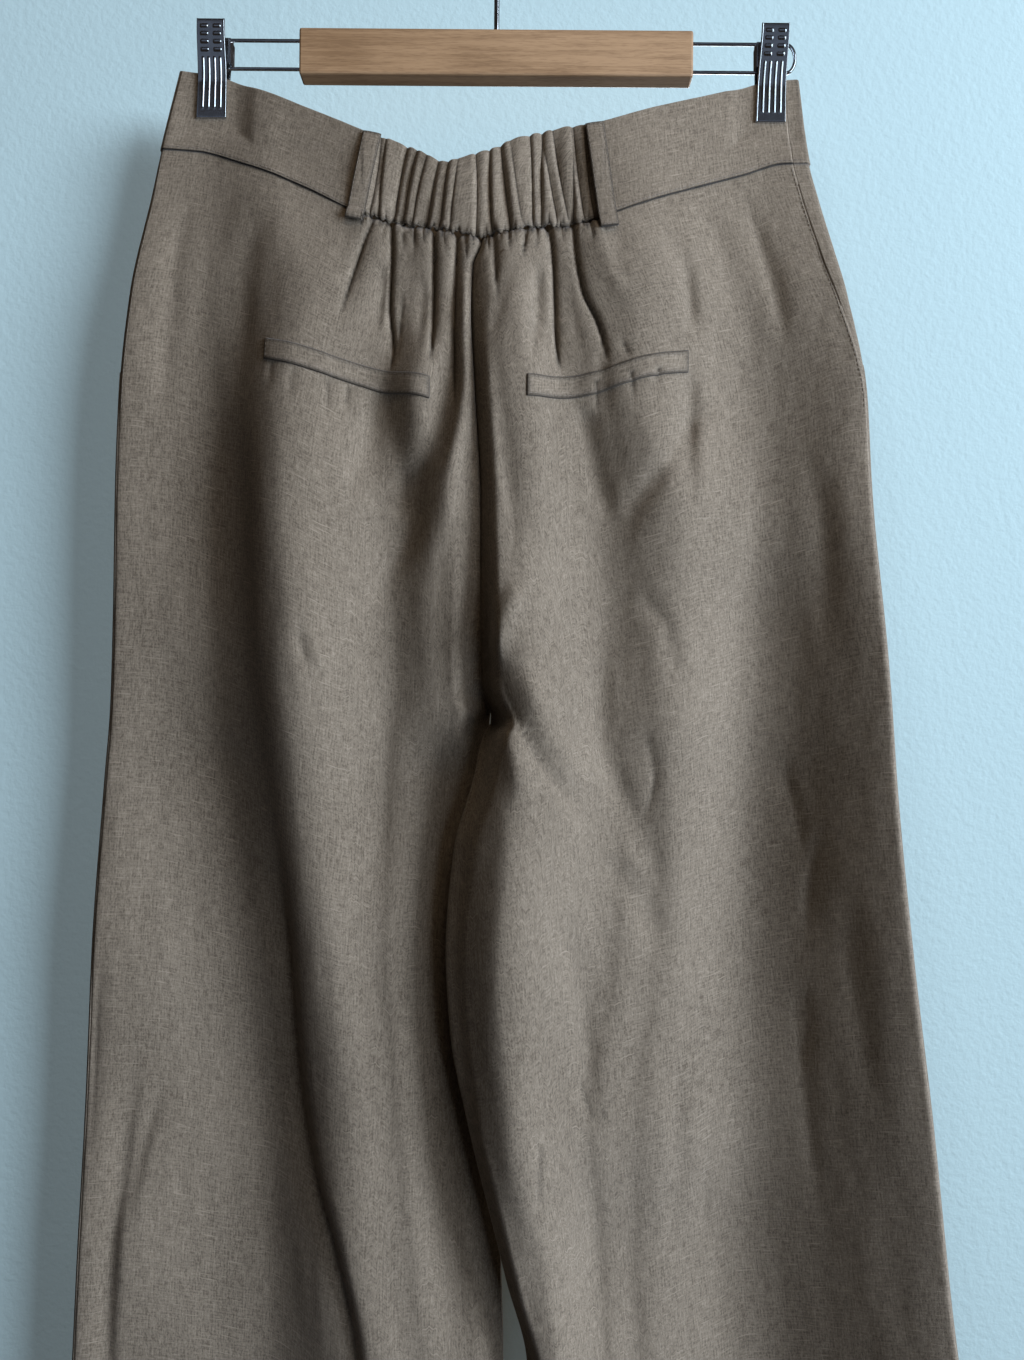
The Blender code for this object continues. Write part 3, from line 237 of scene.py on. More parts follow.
# How much higher the right back panel stands beside the centre seam than the left one.
SEAT_RISE: Table = table(
    "z rise",
    [
        (-222, 0), (-262, 3), (-310, 7), (-373, 9), (-447, 8.5), (-484, 9), (-504, 9), (-530, 6), (-570, 3),
        (-610, 0), (-700, 0), (-760, 6), (-850, 10), (-1150, 10),
    ],
)
EDGE_ROLL: Table = table("z roll", [(-110, 2), (-160, 3.4), (-200, 4.2), (-260, 4.6), (-1150, 4.6)])
SEAM_INSET: Mapping[Side, Table] = halves(
    "z inset",
    [
        (-110, 1), (-159, 1.2), (-200, 2.2), (-1150, 2.2),
    ],
    [
        (-110, 9), (-165, 11), (-225, 10), (-254, 7), (-284, 4), (-314, 2.2), (-1150, 2.2),
    ],
)
BACK_WAIST: Table = table(
    "top_x top_z seam_x seam_z",
    [
        (-195.5, -110, -206.8, -159), (-174, -113, -183, -160.2), (-144.6, -124, -152, -170.4),
        (-106.7, -140.2, -114, -187), (-74, -154.8, -84.5, -201.5), (-51.9, -162.5, -60, -208.6),
        (-28, -173.5, -34, -214), (-9, -168, -8.6, -219), (19.8, -157.7, 22, -213.5),
        (45, -151.5, 50, -210.3), (59.5, -149.2, 68.5, -205.3), (100, -136, 108, -189.6),
        (145, -120.8, 152, -173), (171, -113.5, 178, -165.2), (186.5, -112.4, 194.1, -165),
    ],
)
FRONT_WAIST: Table = table(
    "top_x top_z seam_x seam_z",
    [
        (-195.5, -110, -206.8, -159), (-174, -112.5, -183, -160.5), (-110, -134, -117, -181),
        (-60, -156, -64, -203), (-9, -170, -8.6, -217), (45, -154, 48, -203), (100, -134, 107, -185),
        (171, -113.5, 178, -165.4), (186.5, -112.4, 194.1, -165),
    ],
)
ELASTIC_ENDS: Table = table("top_x seam_x", [(-74, -84.5), (59.5, 68.5)])


# ---------------- curves
def curve(t: Array, knots: Array, values: Array) -> Array:
    """Monotone cubic through rising knots, flat past its ends.

    Each knot's slope is the weighted harmonic mean of the two slopes beside it, and 0 where they turn.

    Args:
        t: Where to read the curve.
        knots: Rising places.
        values: Values at the knots.

    Returns:
        The curve's values at t.
    """
    run = np.diff(knots)
    secant = np.diff(values) / run
    heavy, light = 2 * run[1:] + run[:-1], run[1:] + 2 * run[:-1]
    turning = secant[:-1] * secant[1:] <= 0
    before, after = (np.where(turning, 1.0, part) for part in (secant[:-1], secant[1:]))
    middle = np.where(turning, 0.0, (heavy + light) / (heavy / before + light / after))
    slopes = np.concatenate([secant[:1], middle, secant[-1:]])
    i = np.clip(np.searchsorted(knots, t) - 1, 0, len(knots) - 2)
    step = knots[i + 1] - knots[i]
    u = np.clip((t - knots[i]) / step, 0, 1)
    blend = u * u * (3 - 2 * u)
    leave = u * (1 - u) ** 2 * step * slopes[i]
    arrive = u * u * (u - 1) * step * slopes[i + 1]
    return values[i] * (1 - blend) + values[i + 1] * blend + leave + arrive


def ease(t: Array) -> Array:
    """0 to 1 with level ends: 3t^2 - 2t^3."""
    t = np.clip(t, 0, 1)
    return t * t * (3 - 2 * t)


def quarter(t: Array) -> Array:
    """Rise of a quarter circle, upright at 0 and level at 1."""
    t = np.clip(t, 0, 1)
    return np.sqrt(np.clip(1 - (1 - t) ** 2, 0, 1))


def profile(x: Array, places: Sequence[Array], heights: Sequence[Array]) -> Array:
    """Height at x between named places, level at each: the sum of eased steps from one height to the next.

    Args:
        x: Where to read it.
        places: Rising places, each of x's shape.
        heights: The height at each place.

    Returns:
        The height at x.
    """
    total = heights[0] + 0 * x
    for here, there, low, high in zip(places, places[1:], heights, heights[1:]):
        total = total + (high - low) * ease((x - here) / (there - here))
    return total


def valley(distance: Array, width: Array) -> Array:
    """Section of a pressed-in fold, exp(-(|d|/w)^1.3): 1 at its sharp foot and 0 a few widths away."""
    return np.exp(-((np.abs(distance) / width) ** 1.3))


def swell(distance: Array, width: Array) -> Array:
    """Section of a soft fold, exp(-(d/w)^2)."""
    return np.exp(-((distance / width) ** 2))


def soft_noise(x: Array, z: Array, seed: int, scale: Pair) -> Array:
    """Smooth uneven pattern from about -1 to 1: the mean of sine waves with seeded directions and phases.

    Args:
        x: Places across.
        z: Heights.
        seed: Which pattern.
        scale: Typical wave length across and up.

    Returns:
        The pattern at (x, z).
    """
    random = np.random.default_rng(seed)
    total = 0 * x
    for _ in range(NOISE_WAVES):
        across, up = random.normal(size=2)
        phase = random.uniform(0, 2 * math.pi)
        total = total + np.sin(2 * math.pi * (across * x / scale[0] + up * z / scale[1]) + phase)
    return total / NOISE_WAVES * NOISE_GAIN


# ---------------- folds
@dataclass(frozen=True)
class Fold:
    """One fold line of the cloth, seen from outside.

    Attributes:
        line: (x, z) points from its top to its foot.
        depth: How far it goes in, or out where negative.
        width: Half width of its section.
        sharp: Whether its foot is a crease or a soft trough.
        start: Share of its length over which it begins.
        end: Share of its length over which it fades.
        lean: From -1 to 1, how much wider its right flank is than its left.
        crisp: Share of its depth that lies in a crease a third as wide.
    """

    line: Tuple[Pair, ...]
    depth: float
    width: float
    sharp: bool = True
    start: float = 0.12
    end: float = 0.45
    lean: float = 0.0
    crisp: float = 0.0

    def relief(self, x: Array, z: Array) -> Array:
        """How far the fold moves the cloth out: its section, times an ease in and out along its line.

        Args:
            x: Places across.
            z: Heights.

        Returns:
            The relief at (x, z), below 0 where the fold goes in.
        """
        points = np.array(self.line, float)
        heights = -points[:, 1]
        fall = np.clip((-z - heights[0]) / (heights[-1] - heights[0]), -0.2, 1.2)
        place = curve(-z, heights, points[:, 0]) if len(points) > 2 else np.interp(-z, heights, points[:, 0])
        slope = np.gradient(points[:, 0], heights)
        square = 1 / np.sqrt(1 + np.interp(-z, heights, slope) ** 2)
        distance = (x - place) * square
        width = self.width * (1 + self.lean * np.tanh(distance / self.width))
        section = valley(distance, width) if self.sharp else swell(distance, width)
        section = section * (1 - self.crisp) + self.crisp * valley(distance, self.width / 3)
        along = ease(fall / self.start) * ease((1 - fall) / self.end)
        return -self.depth * along * section


def folded(folds: Sequence[Fold], x: Array, z: Array) -> Array:
    """Sum of the folds' reliefs at (x, z)."""
    return sum((fold.relief(x, z) for fold in folds), 0 * x)


def crease(depth: float, width: float, *line: Pair, **shape: float) -> Fold:
    """A sharp fold from its depth, its width and its line's points; shape holds any other of its fields."""
    return Fold(line, depth, width, **{"start": 0.3, **shape})


# A trough is soft, a gather starts at the waist seam, a nick is a short gather, a pucker hangs from a welt.
trough = partial(crease, sharp=False)
gather = partial(crease, start=0.03, crisp=0.5)
nick = partial(gather, end=0.8)
pucker = partial(crease, start=0.1, end=0.7)


GATHERS: Mapping[Side, Tuple[Fold, ...]] = {
    Side.LEFT: (
        gather(3.4, 4, (-73.4, -207), (-79.2, -222.7), (-86.5, -246), (-94, -276), lean=0.2, crisp=0.35),
        gather(5, 3, (-62, -208), (-61.9, -226.8), (-62.9, -258.9), (-60.3, -288.7), (-62.6, -303), end=0.22,
               lean=-0.3),
        trough(2.6, 4.6, (-66.5, -228), (-68.5, -252), (-73, -284), lean=-0.5),
        crease(1.2, 2.6, (-54.5, -246), (-56.4, -278), (-57.4, -300), start=0.4, crisp=0.4),
        nick(2.2, 2, (-47.6, -212), (-48.3, -232)),
        gather(5.6, 3, (-36.4, -213), (-36.2, -240), (-36.1, -262), (-37.5, -301), end=0.3, lean=0.2),
        trough(1.4, 3.4, (-42, -236), (-42.6, -262), (-43.5, -290), start=0.4),
        gather(5.6, 3.6, (-22, -216), (-23.2, -250.9), (-23.6, -285), (-22.5, -316), (-26, -337.8),
               start=0.02, end=0.35, lean=0.1, crisp=0.4),
        nick(1.6, 1.5, (-29.6, -214), (-29.2, -234)),
        nick(1.5, 1.4, (-42, -211), (-42.4, -226)),
        nick(2.4, 1.8, (-54.5, -209), (-55.2, -229)),
        nick(1.8, 1.6, (-67, -207), (-68.2, -224)),
        nick(1.6, 1.4, (-16.6, -217), (-16.2, -238)),
        nick(1.2, 1.6, (-79, -203), (-82, -216)),
    ),
    Side.RIGHT: (
        gather(3.4, 3, (0.2, -217), (1.3, -243.5), (3, -266), end=0.6, lean=0.3, crisp=0.4),
        gather(3.4, 2.6, (19.4, -213), (17, -238), end=0.7, lean=0.2),
        nick(1.6, 1.5, (-3.2, -219), (-3, -236)),
        gather(5.6, 3.6, (31.8, -211), (34.6, -226), (36.4, -258.1), (37.4, -282), (41.5, -306), end=0.3,
               lean=0.15),
        gather(4.8, 2.8, (47.2, -210), (48, -222.3), (53.1, -252), (62.4, -272), (70, -300), end=0.3,
               lean=-0.2),
        trough(1.6, 4.6, (64.5, -276), (66, -302), (69, -338), start=0.35),
        trough(0.8, 4.6, (43, -236), (47, -268), (54.5, -299), lean=-0.4),
        trough(-1.2, 5, (60, -211), (67.3, -235.9), (75.8, -253.7), (90, -276), start=0.1),
        nick(2.2, 2, (57.5, -208), (59.6, -226)),
        nick(1.6, 1.8, (64.5, -206.5), (67, -222)),
        crease(1.4, 2, (76, -281), (81.8, -294.3), start=0.4, end=0.4),
        nick(2, 1.8, (8.5, -215), (9.6, -236)),
        nick(1.8, 1.6, (25, -212), (25.6, -233)),
        nick(1.8, 1.6, (40.4, -210.5), (41.4, -228)),
        trough(1, 4.6, (12, -232), (6, -256), (-1, -288), end=0.4),
        trough(3.2, 4.2, (26.5, -232), (26, -262), (21, -304), end=0.4),
    ),
}

BACK_FOLDS: Mapping[Side, Tuple[Fold, ...]] = {
    Side.LEFT: (
        trough(3.4, 9, (-64.4, -298.8), (-71.8, -330.4), (-84, -385), lean=0.3),
        trough(2.2, 5.5, (-52, -350), (-57.1, -392), start=0.4),
        trough(5, 8, (-27, -268), (-28, -300), (-31, -325), (-36, -345), (-44, -366), (-47, -392),
               (-59, -420), (-78, -452), start=0.25),
        trough(-4.5, 6, (-16, -232), (-15.5, -300), (-18, -330), (-24, -360), (-27, -392), (-34, -430),
               start=0.2, end=0.4),
        crease(2.2, 3.6, (-112.4, -448), (-106.6, -484), start=0.5, end=0.5),
        trough(-1.2, 5, (-103, -452), (-99, -486), start=0.5, end=0.5),
        pucker(1.3, 2.4, (-131, -296), (-133, -318)),
        pucker(1.3, 2.2, (-118, -301), (-119.5, -325)),
        pucker(1.5, 2.4, (-98, -306), (-99, -336)),
        pucker(1.2, 2, (-86.5, -309), (-89, -330)),
        trough(2, 9, (-140, -190), (-152, -250), (-150, -330)),
        trough(1.6, 6, (-187, -176), (-199, -250), (-203, -340)),
        trough(4, 6.5, (-214, -700), (-224, -780), (-230, -840), (-232, -900), (-232, -990), lean=-0.3),
        crease(1.6, 3.6, (-236, -640), (-239, -700), (-243, -790), start=0.4),
        trough(4, 14, (-158.5, -290), (-157.6, -318), (-153, -377), (-151, -437), (-146, -496), (-138, -556),
               (-130, -615), (-122, -675), start=0.2, end=0.2, lean=-0.35),
        crease(9.5, 8, (-132, -560), (-128, -600), (-122, -652.2), (-117, -723.6), (-107, -783),
               (-92, -830.5), (-79, -889.9), (-72, -980), start=0.25, end=0.3, lean=-0.6),
        trough(2.4, 5, (-199.6, -730), (-214.3, -783.9), (-222, -830), lean=-0.3),
        trough(2, 8, (-60, -470), (-63, -540), (-66, -640)),
        trough(2.2, 9, (-40, -640), (-36, -760), (-20, -880)),
        trough(2.4, 10, (-150, -900), (-158, -1000), (-160, -1120)),
    ),
    Side.RIGHT: (
        trough(1.4, 5, (-4, -270), (4.4, -309), (8.6, -361.3), (14.4, -400), (13, -428), start=0.35, end=0.3,
               lean=0.3),
        trough(2.6, 5, (114, -220), (118, -250), (119, -284), start=0.4, end=0.4),
        trough(3.8, 6.5, (119, -292), (118.5, -330), (117, -385), start=0.25, end=0.4, lean=-0.3),
        trough(-2, 8, (14, -235), (22, -300), (30, -380), (36, -440), start=0.2),
        trough(-3.4, 6, (17, -424), (8.3, -448.8), (-0.5, -476), end=0.3),
        crease(4.2, 5, (2, -466), (6.5, -484), (25, -524), (42, -549.5), (66, -577), start=0.15, end=0.35,
               lean=0.35),
        trough(-3, 6, (-3, -484), (11.8, -523.2), (25.5, -572), start=0.2, end=0.5),
        trough(-2.2, 7, (18, -470), (36, -515), (60, -556), end=0.4),
        trough(2.4, 9, (70, -585), (92.9, -620.8), (114, -660)),
        trough(2.6, 7, (54.3, -318), (59.2, -343.7), (75, -405), start=0.15),
        trough(3, 9, (60.1, -440), (65.4, -519.8), (87.2, -567.2), (112, -642)),
        trough(3.2, 7.5, (128, -312), (104.5, -352.8), (88, -376.8), (75, -410), start=0.2),
        trough(1.8, 6, (88, -425), (108, -462), (111, -498)),
        crease(1.8, 4, (91, -508), (99.2, -543.3), (91, -578)),
        crease(2, 4, (181, -524), (194.4, -583.1), (197, -610), lean=-0.4),
        crease(2.6, 4, (204.6, -568), (199, -610), (196.8, -650), lean=0.4),
        crease(1.6, 3, (23.4, -746), (31.5, -762), (29.5, -812), start=0.2, crisp=0.5),
        crease(1.8, 4, (197, -668), (199.2, -706), (189.8, -730), crisp=0.4),
        crease(1.2, 2.6, (54, -722), (62, -744), (70, -760), crisp=0.5),
        crease(1.2, 2.6, (80, -728), (70, -746), (66, -756), crisp=0.5),
        trough(2.6, 7, (36, -610), (54.6, -662.7), (62.3, -736.5), (73, -776)),
        crease(1.2, 3, (136.5, -780), (138.1, -845), crisp=0.4),
        trough(0.8, 6, (155, -234), (162, -292), start=0.4),
        trough(0.7, 5, (169.5, -214), (180.5, -278), start=0.4),
        pucker(1.4, 2.2, (62, -304), (62.5, -330)),
        pucker(1.4, 2.2, (82, -300), (84, -324)),
        pucker(1.4, 2.2, (98, -297), (97, -320)),
        trough(1.2, 7, (120, -180), (142, -230), (160, -300)),
        trough(1.8, 5, (150, -176), (166, -225), (183, -292)),
        trough(1.6, 6, (104, -206), (116, -250), (126, -284)),
        trough(2.2, 7, (192, -340), (202, -400), (206, -470)),
        trough(2.2, 7, (216, -600), (224, -680), (236, -760)),
        crease(1.8, 5, (190, -660), (198, -740), (208, -830)),
        trough(1.6, 7, (112, -700), (118, -780), (116, -860)),
        trough(1.6, 9, (52, -800), (56, -900), (60, -1040)),
        trough(2.2, 9, (230, -860), (238, -960), (248, -1100)),
    ),
}

FRONT_FOLDS: Mapping[Side, Tuple[Fold, ...]] = {
    Side.LEFT: (
        trough(3, 9, (-70, -205), (-84, -300), (-90, -460), start=0.2),
        trough(3.2, 8, (-30, -240), (-42, -330), (-60, -430)),
        trough(3.6, 6.5, (-4, -470), (-30, -530), (-58, -580), start=0.2),
        trough(3, 12, (-130, -330), (-150, -430), (-152, -620)),
        trough(3.4, 11, (-90, -600), (-84, -760), (-80, -980)),
        trough(3.4, 13, (-170, -640), (-176, -820), (-180, -1060)),
        trough(2.6, 8, (-34, -640), (-30, -760), (-36, -900)),
        crease(1.8, 5, (-210, -520), (-214, -600), start=0.4),
    ),
    Side.RIGHT: (
        trough(3, 9, (56, -205), (72, -310), (84, -450), start=0.2),
        trough(3.2, 8, (14, -240), (26, -340), (48, -440)),
        trough(3.6, 6.5, (6, -470), (34, -530), (64, -590), start=0.2),
        trough(3, 12, (126, -320), (140, -430), (146, -640)),
        trough(3.4, 11, (92, -600), (88, -780), (96, -1000)),
        trough(3.4, 13, (200, -560), (214, -740), (228, -980)),
        trough(2.6, 8, (44, -700), (56, -860), (64, -1040)),
        crease(1.8, 5, (226, -430), (230, -520), start=0.4),
    ),
}

# Pleats of the elastic waistband: place at the top edge and at the waist seam, depth, width and lean.
PLEATS: Table = table(
    "top_x seam_x depth width lean",
    [
        (-69, -76, 1.6, 1.8, -0.3), (-66, -70, 2.2, 1.6, -0.5), (-52.6, -61.8, 3.6, 2.6, -0.6),
        (-47, -55.5, 3.2, 2.2, -0.6), (-41, -49.5, 1.4, 1.6, -0.5), (-33, -42, 3.2, 2.6, -0.65),
        (-27, -33.6, 2.8, 2.2, -0.6), (-22.5, -26, 1.2, 1.5, -0.4), (-12, -10.6, 2.6, 2.2, 0.5),
        (-2.9, -1.4, 3.6, 1.8, -0.5), (4.2, 9.2, 4.2, 2.8, -0.5), (8.6, 18, 1.2, 2, 0.5),
        (20.2, 23.8, 2.8, 2, -0.5), (28.4, 28.6, 3, 2.4, -0.5), (27.4, 39.2, 2, 2.4, 0.7),
        (34.6, 45.4, 2.2, 2.4, 0.7), (44.8, 48.4, 1.8, 1.8, -0.4), (47, 54.6, 3.2, 2.2, 0.7),
        (53, 60.6, 2, 2.2, 0.4),
    ],
)


# ---------------- the form under the cloth
@dataclass(frozen=True)
class HangingForm:
    """Shape that the whole garment hangs in: two layers, joined at the side edges and the inner ends."""

    crotch_z: float = -504.0
    seam_gap: float = 0.3
    closing_reach: float = 20.0
    corner_reach: float = 6.0
    crotch_corner: float = 0.8
    leg_spacing: float = 0.7
    panel_top_z: float = -165.0
    waist_fade: float = 260.0
    waist_gap: float = 0.2
    pinch_depth: float = 1.2
    pinch_x: Pair = (-174.2, 168.4)
    pinch_half_width: float = 12.0
    pinch_foot_z: float = -144.0
    pinch_fade: float = 16.0
    pocket_foot_z: float = -312.0
    pocket_mouth: float = 46.0
    pocket_curve: float = 1.35
    edge_share: float = 0.08
    edge_knee: float = 5.0
    seat_turn: float = 0.75
    seat_full_rise: float = 6.0

    def at_height(self, rows: Table, column: str, z: Array) -> Array:
        """A section table's column at the heights z."""
        return curve(-z, -rows["z"], rows[column])

    def inner(self, side: Side, column: str, z: Array) -> Array:
        """A column at the inner end: at the centre seam above the crotch, at the leg's inseam below it.

        The right back panel keeps its height up to the centre seam and turns down to it at once.

        Args:
            side: Half of the garment.
            column: The column's name in the section tables.
            z: Heights.

        Returns:
            The column's values, 0 where a table doesn't have it.
        """
        above = self.at_height(CENTRE_SEAM, column, z) if column in CENTRE_SEAM else 0.0
        below = self.at_height(INSEAM[side], column, z) if column in INSEAM[side] else 0.0
        read = np.where(z >= self.crotch_z, above, below)
        if side is Side.RIGHT and column in ("back", "back_sink"):
            read = read + self.at_height(SEAT_RISE, "rise", z)
        return read

    def opening(self, side: Side, face: Face, z: Array) -> Array:
        """Width over which a layer sinks to its inner end, narrower where the seat stands up to the seam.

        Args:
            side: Half of the garment.
            face: Back or front layer.
            z: Heights.

        Returns:
            The width at each height.
        """
        width = self.inner(side, "open", z)
        if side is Side.RIGHT and face is Face.BACK:
            risen = ease(self.at_height(SEAT_RISE, "rise", z) / self.seat_full_rise)
            width = width * (1 - (1 - self.seat_turn) * risen)
        return width

    def edge(self, side: Side, z: Array) -> Array:
        """The side edge's place across."""
        return self.at_height(BACK[side], "edge_x", z)

    def centre(self, z: Array) -> Array:
        """The centre seam's place across."""
        return self.at_height(CENTRE_SEAM, "x", z)

    def inset(self, side: Side, z: Array) -> Array:
        """How far the side seam lies in from the side edge, on the back."""
        return self.at_height(SEAM_INSET[side], "inset", z)

    def width(self, side: Side, z: Array) -> Array:
        """Distance from the side edge to the inner end, which stays clear of the other leg's."""
        apart = self.leg_spacing * ease((self.crotch_z - z) / self.corner_reach)
        return np.abs(self.inner(side, "x", z) + side * apart - self.edge(side, z))

    def past_edge(self, start: Array, end: Array, knee: Array, along: Array) -> Array:
        """Distance in from the side edge: a short stretch up to the knee takes the first few columns."""
        early = start + (knee - start) * along / self.edge_share
        late = knee + (end - knee) * (along - self.edge_share) / (1 - self.edge_share)
        return np.where(along < self.edge_share, early, late)

    def pinched(self, x: Array, z: Array, depth: Array) -> Array:
        """A layer's depth where a clip's jaws hold the two layers together."""
        across = np.minimum(np.abs(x - self.pinch_x[0]), np.abs(x - self.pinch_x[1])) - self.pinch_half_width
        free = np.maximum(ease(across / self.pinch_fade), ease((self.pinch_foot_z - z) / self.pinch_fade))
        return self.pinch_depth + (depth - self.pinch_depth) * free

    def layer(self, side: Side, face: Face, x: Array, z: Array) -> Array:
        """How far a layer stands out before it turns in at its edges: eased steps along its section.

        Args:
            side: Half of the garment.
            face: Back or front layer.
            x: Places across.
            z: Heights.

        Returns:
            The layer's depth at (x, z).
        """
        inward = -side
        if face is Face.BACK:
            rows, tag, inner = BACK[side], "_h", "back"
            lines = ("hollow", "crest", "trough", "swell")
            first = self.at_height(rows, "edge_h", z)
        else:
            rows, tag, inner = FRONT[side], "_f", "front"
            lines = ("side", "middle", "swell")
            first = 2 * self.at_height(EDGE_ROLL, "roll", z) - self.at_height(BACK[side], "edge_h", z)
        across = [self.at_height(rows, line + "_x", z) for line in lines]
        places = [inward * place for place in (self.edge(side, z), *across, self.inner(side, "x", z))]
        depths = [self.at_height(rows, line + tag, z) for line in lines]
        heights = [first, *depths, self.inner(side, inner, z)]
        return self.pinched(x, z, profile(inward * x, places, heights))

    def points(self, side: Side, face: Face, x: Array, z: Array, relief: Array | float = 0.0) -> Array:
        """Points of the cloth's middle surface.

        The layer's depth plus its relief rounds into the side edge by a quarter circle, and sinks to the
        centre seam or inseam partly by a quarter circle and partly by an ease.

        Args:
            side: Half of the garment.
            face: Back or front layer.
            x: Places across.
            z: Heights.
            relief: How far folds move the cloth outwards.

        Returns:
            Points with a last axis of x, y, z.
        """
        roll = self.at_height(EDGE_ROLL, "roll", z)
        edge_y = roll - self.at_height(BACK[side], "edge_h", z)
        from_edge = np.abs(x - self.edge(side, z))
        from_end = np.abs(self.inner(side, "x", z) - x)
        layer = face * (self.layer(side, face, x, z) + relief)
        y = layer + (edge_y - layer) * (1 - quarter(from_edge / roll))
        sunk = layer - face * self.inner(side, "back_sink" if face is Face.BACK else "front_sink", z)
        closing = ease((self.crotch_z + self.closing_reach - z) / self.closing_reach)
        fall = ease((self.crotch_z - z) / self.corner_reach)
        corner = self.crotch_corner + (self.seam_gap / 2 - self.crotch_corner) * fall
        target = sunk + (self.inner(side, "seam_y", z) + face * corner - sunk) * closing
        inner_roll = self.inner(side, "roll", z)
        share = np.clip(inner_roll / np.maximum(np.abs(layer - target), 1e-6), 0, 1)
        round_part = quarter(from_end / np.maximum(inner_roll, 0.5))
        slope_part = ease(from_end / self.opening(side, face, z))
        y = target + (y - target) * (share * round_part + (1 - share) * slope_part)
        return np.stack([x, y, z + 0 * x], axis=-1)

    def either(self, face: Face, x: Array, z: Array, relief: Array | float = 0.0) -> Array:
        """Points of the form at (x, z), on whichever side of the centre they are."""
        left, right = (self.points(side, face, x, z, relief) for side in Side)
        return np.where((x < self.centre(z))[..., None], left, right)


FORM = HangingForm()


@dataclass(frozen=True)
class Drape:
    """Relief of the cloth over the form: gathers, pleats, puckers and crumple."""

    puff_rise: float = 3.0
    puff_reach: float = 7.0
    puff_fade: float = 70.0
    seam_valley: float = 5.0
    seam_pucker: float = 1.7
    seam_waver: float = 1.9
    notch_share: float = 0.6
    notch_width: float = 1.9
    pleat_notch: float = 0.4
    seam_tuck: float = 1.3
    valley_foot_z: float = -350.0
    valley_fade: float = 110.0
    valley_aside: float = 0.4
    valley_width: float = 2.2
    pucker_reach: float = 6.0
    pucker_waves: Pair = (4.2, 60.0)
    tuck_reach: float = 2.2
    band_lift: float = 0.7
    band_slack: float = 0.22
    band_creases: float = 0.14
    edge_flare: float = 11.0
    edge_reach: float = 34.0
    flare_top_z: float = -330.0
    flare_fade: float = 140.0
    gather_ends: Pair = (-88.0, 64.0)
    gather_fade: float = 8.0
    puff_ends: Pair = (-92.0, 60.0)
    puff_fades: Pair = (16.0, 18.0)
    gather_share: float = 0.35
    wave_rise: float = 0.55
    wave_lengths: Pair = (60.0, 170.0)
    ripple_rise: float = 0.22
    ripple_lengths: Pair = (22.0, 70.0)
    ridge_rise: float = 0.35
    ridge_lengths: Pair = (45.0, 120.0)
    crumple_top_z: float = -150.0
    crumple_fade: float = 60.0
    pleat_wander: float = 0.8
    elastic_waves: float = 0.35
    elastic_crimp: float = 1.2
    elastic_tuck: float = 1.3
    elastic_puff: float = 0.9

    def waist_seam(self, waist: Table, x: Array) -> Array:
        """Height of the waist seam at x."""
        return curve(x, waist["seam_x"], waist["seam_z"])

    def gathered(self, x: Array) -> Array:
        """1 along the gathered stretch of the back waist seam and 0 past its ends."""
        start, end = self.gather_ends
        return ease((x - start) / self.gather_fade) * (1 - ease((x - end) / self.gather_fade))

    def wavering(self, x: Array) -> Array:
        """How far the elastic's pull lifts or drops the gathered waist seam, in small uneven scallops."""
        return self.gathered(x) * self.seam_waver * soft_noise(x, 0 * x, Seed.SEAM_WAVER, (3.8, 1.0))

    def notched(self, x: Array) -> Array:
        """Gap that each pleat and gather opens at the waist seam: the deepest of their sections at x."""
        feet = [(foot, self.pleat_notch * depth) for foot, depth in zip(PLEATS["seam_x"], PLEATS["depth"])]
        feet += [(fold.line[0][0], fold.depth) for side in Side for fold in GATHERS[side]]
        deepest = np.zeros_like(x)
        for foot, depth in feet:
            deepest = np.maximum(deepest, self.notch_share * depth * swell(x - foot, self.notch_width))
        return self.gathered(x) * deepest

    def back_leg(self, side: Side, x: Array, z: Array) -> Array:
        """Relief of a back panel: puffed gathers, the centre seam's valley, folds and crumple.

        Args:
            side: Half of the garment.
            x: Places across.
            z: Heights.

        Returns:
            How far the panel stands out of the form.
        """
        below = self.waist_seam(BACK_WAIST, x) - z
        ends, fades = self.puff_ends, self.puff_fades
        inside = ease((x - ends[0]) / fades[0]) * (1 - ease((x - ends[1]) / fades[1]))
        starts = 1 - (1 - np.clip(below / self.puff_reach, 0, 1)) ** 2
        seam = 1 - ease((self.valley_foot_z - z) / self.valley_fade)
        seam = self.seam_valley * seam * valley(x - FORM.centre(z) - self.valley_aside, self.valley_width)
        crimp = self.seam_pucker * soft_noise(x, z, Seed.SEAM_PUCKER, self.pucker_waves)
        crimp = crimp * swell(below, self.pucker_reach) - self.seam_tuck * swell(below, self.tuck_reach)
        puff = self.puff_rise * starts * (1 - ease(below / self.puff_fade))
        gathers = folded(GATHERS[side], x, z) * (self.gather_share + (1 - self.gather_share) * starts)
        folds = gathers + folded(BACK_FOLDS[side], x, z) + self.crumple(x, z, Seed.BACK_CRUMPLE + side)
        return folds - seam + (puff + crimp) * inside + self.curled(side, x, z)

    def curled(self, side: Side, x: Array, z: Array) -> Array:
        """How far the right leg bulges backwards by its side edge, past the side seam too."""
        if side is Side.LEFT:
            return 0 * x
        below = ease((self.flare_top_z - z) / self.flare_fade)
        return self.edge_flare * below * np.exp(-(FORM.edge(side, z) - x) / self.edge_reach)

    def front_leg(self, side: Side, x: Array, z: Array) -> Array:
        """Relief of a front panel: its folds and crumple."""
        return folded(FRONT_FOLDS[side], x, z) + self.crumple(x, z, Seed.FRONT_CRUMPLE + side)

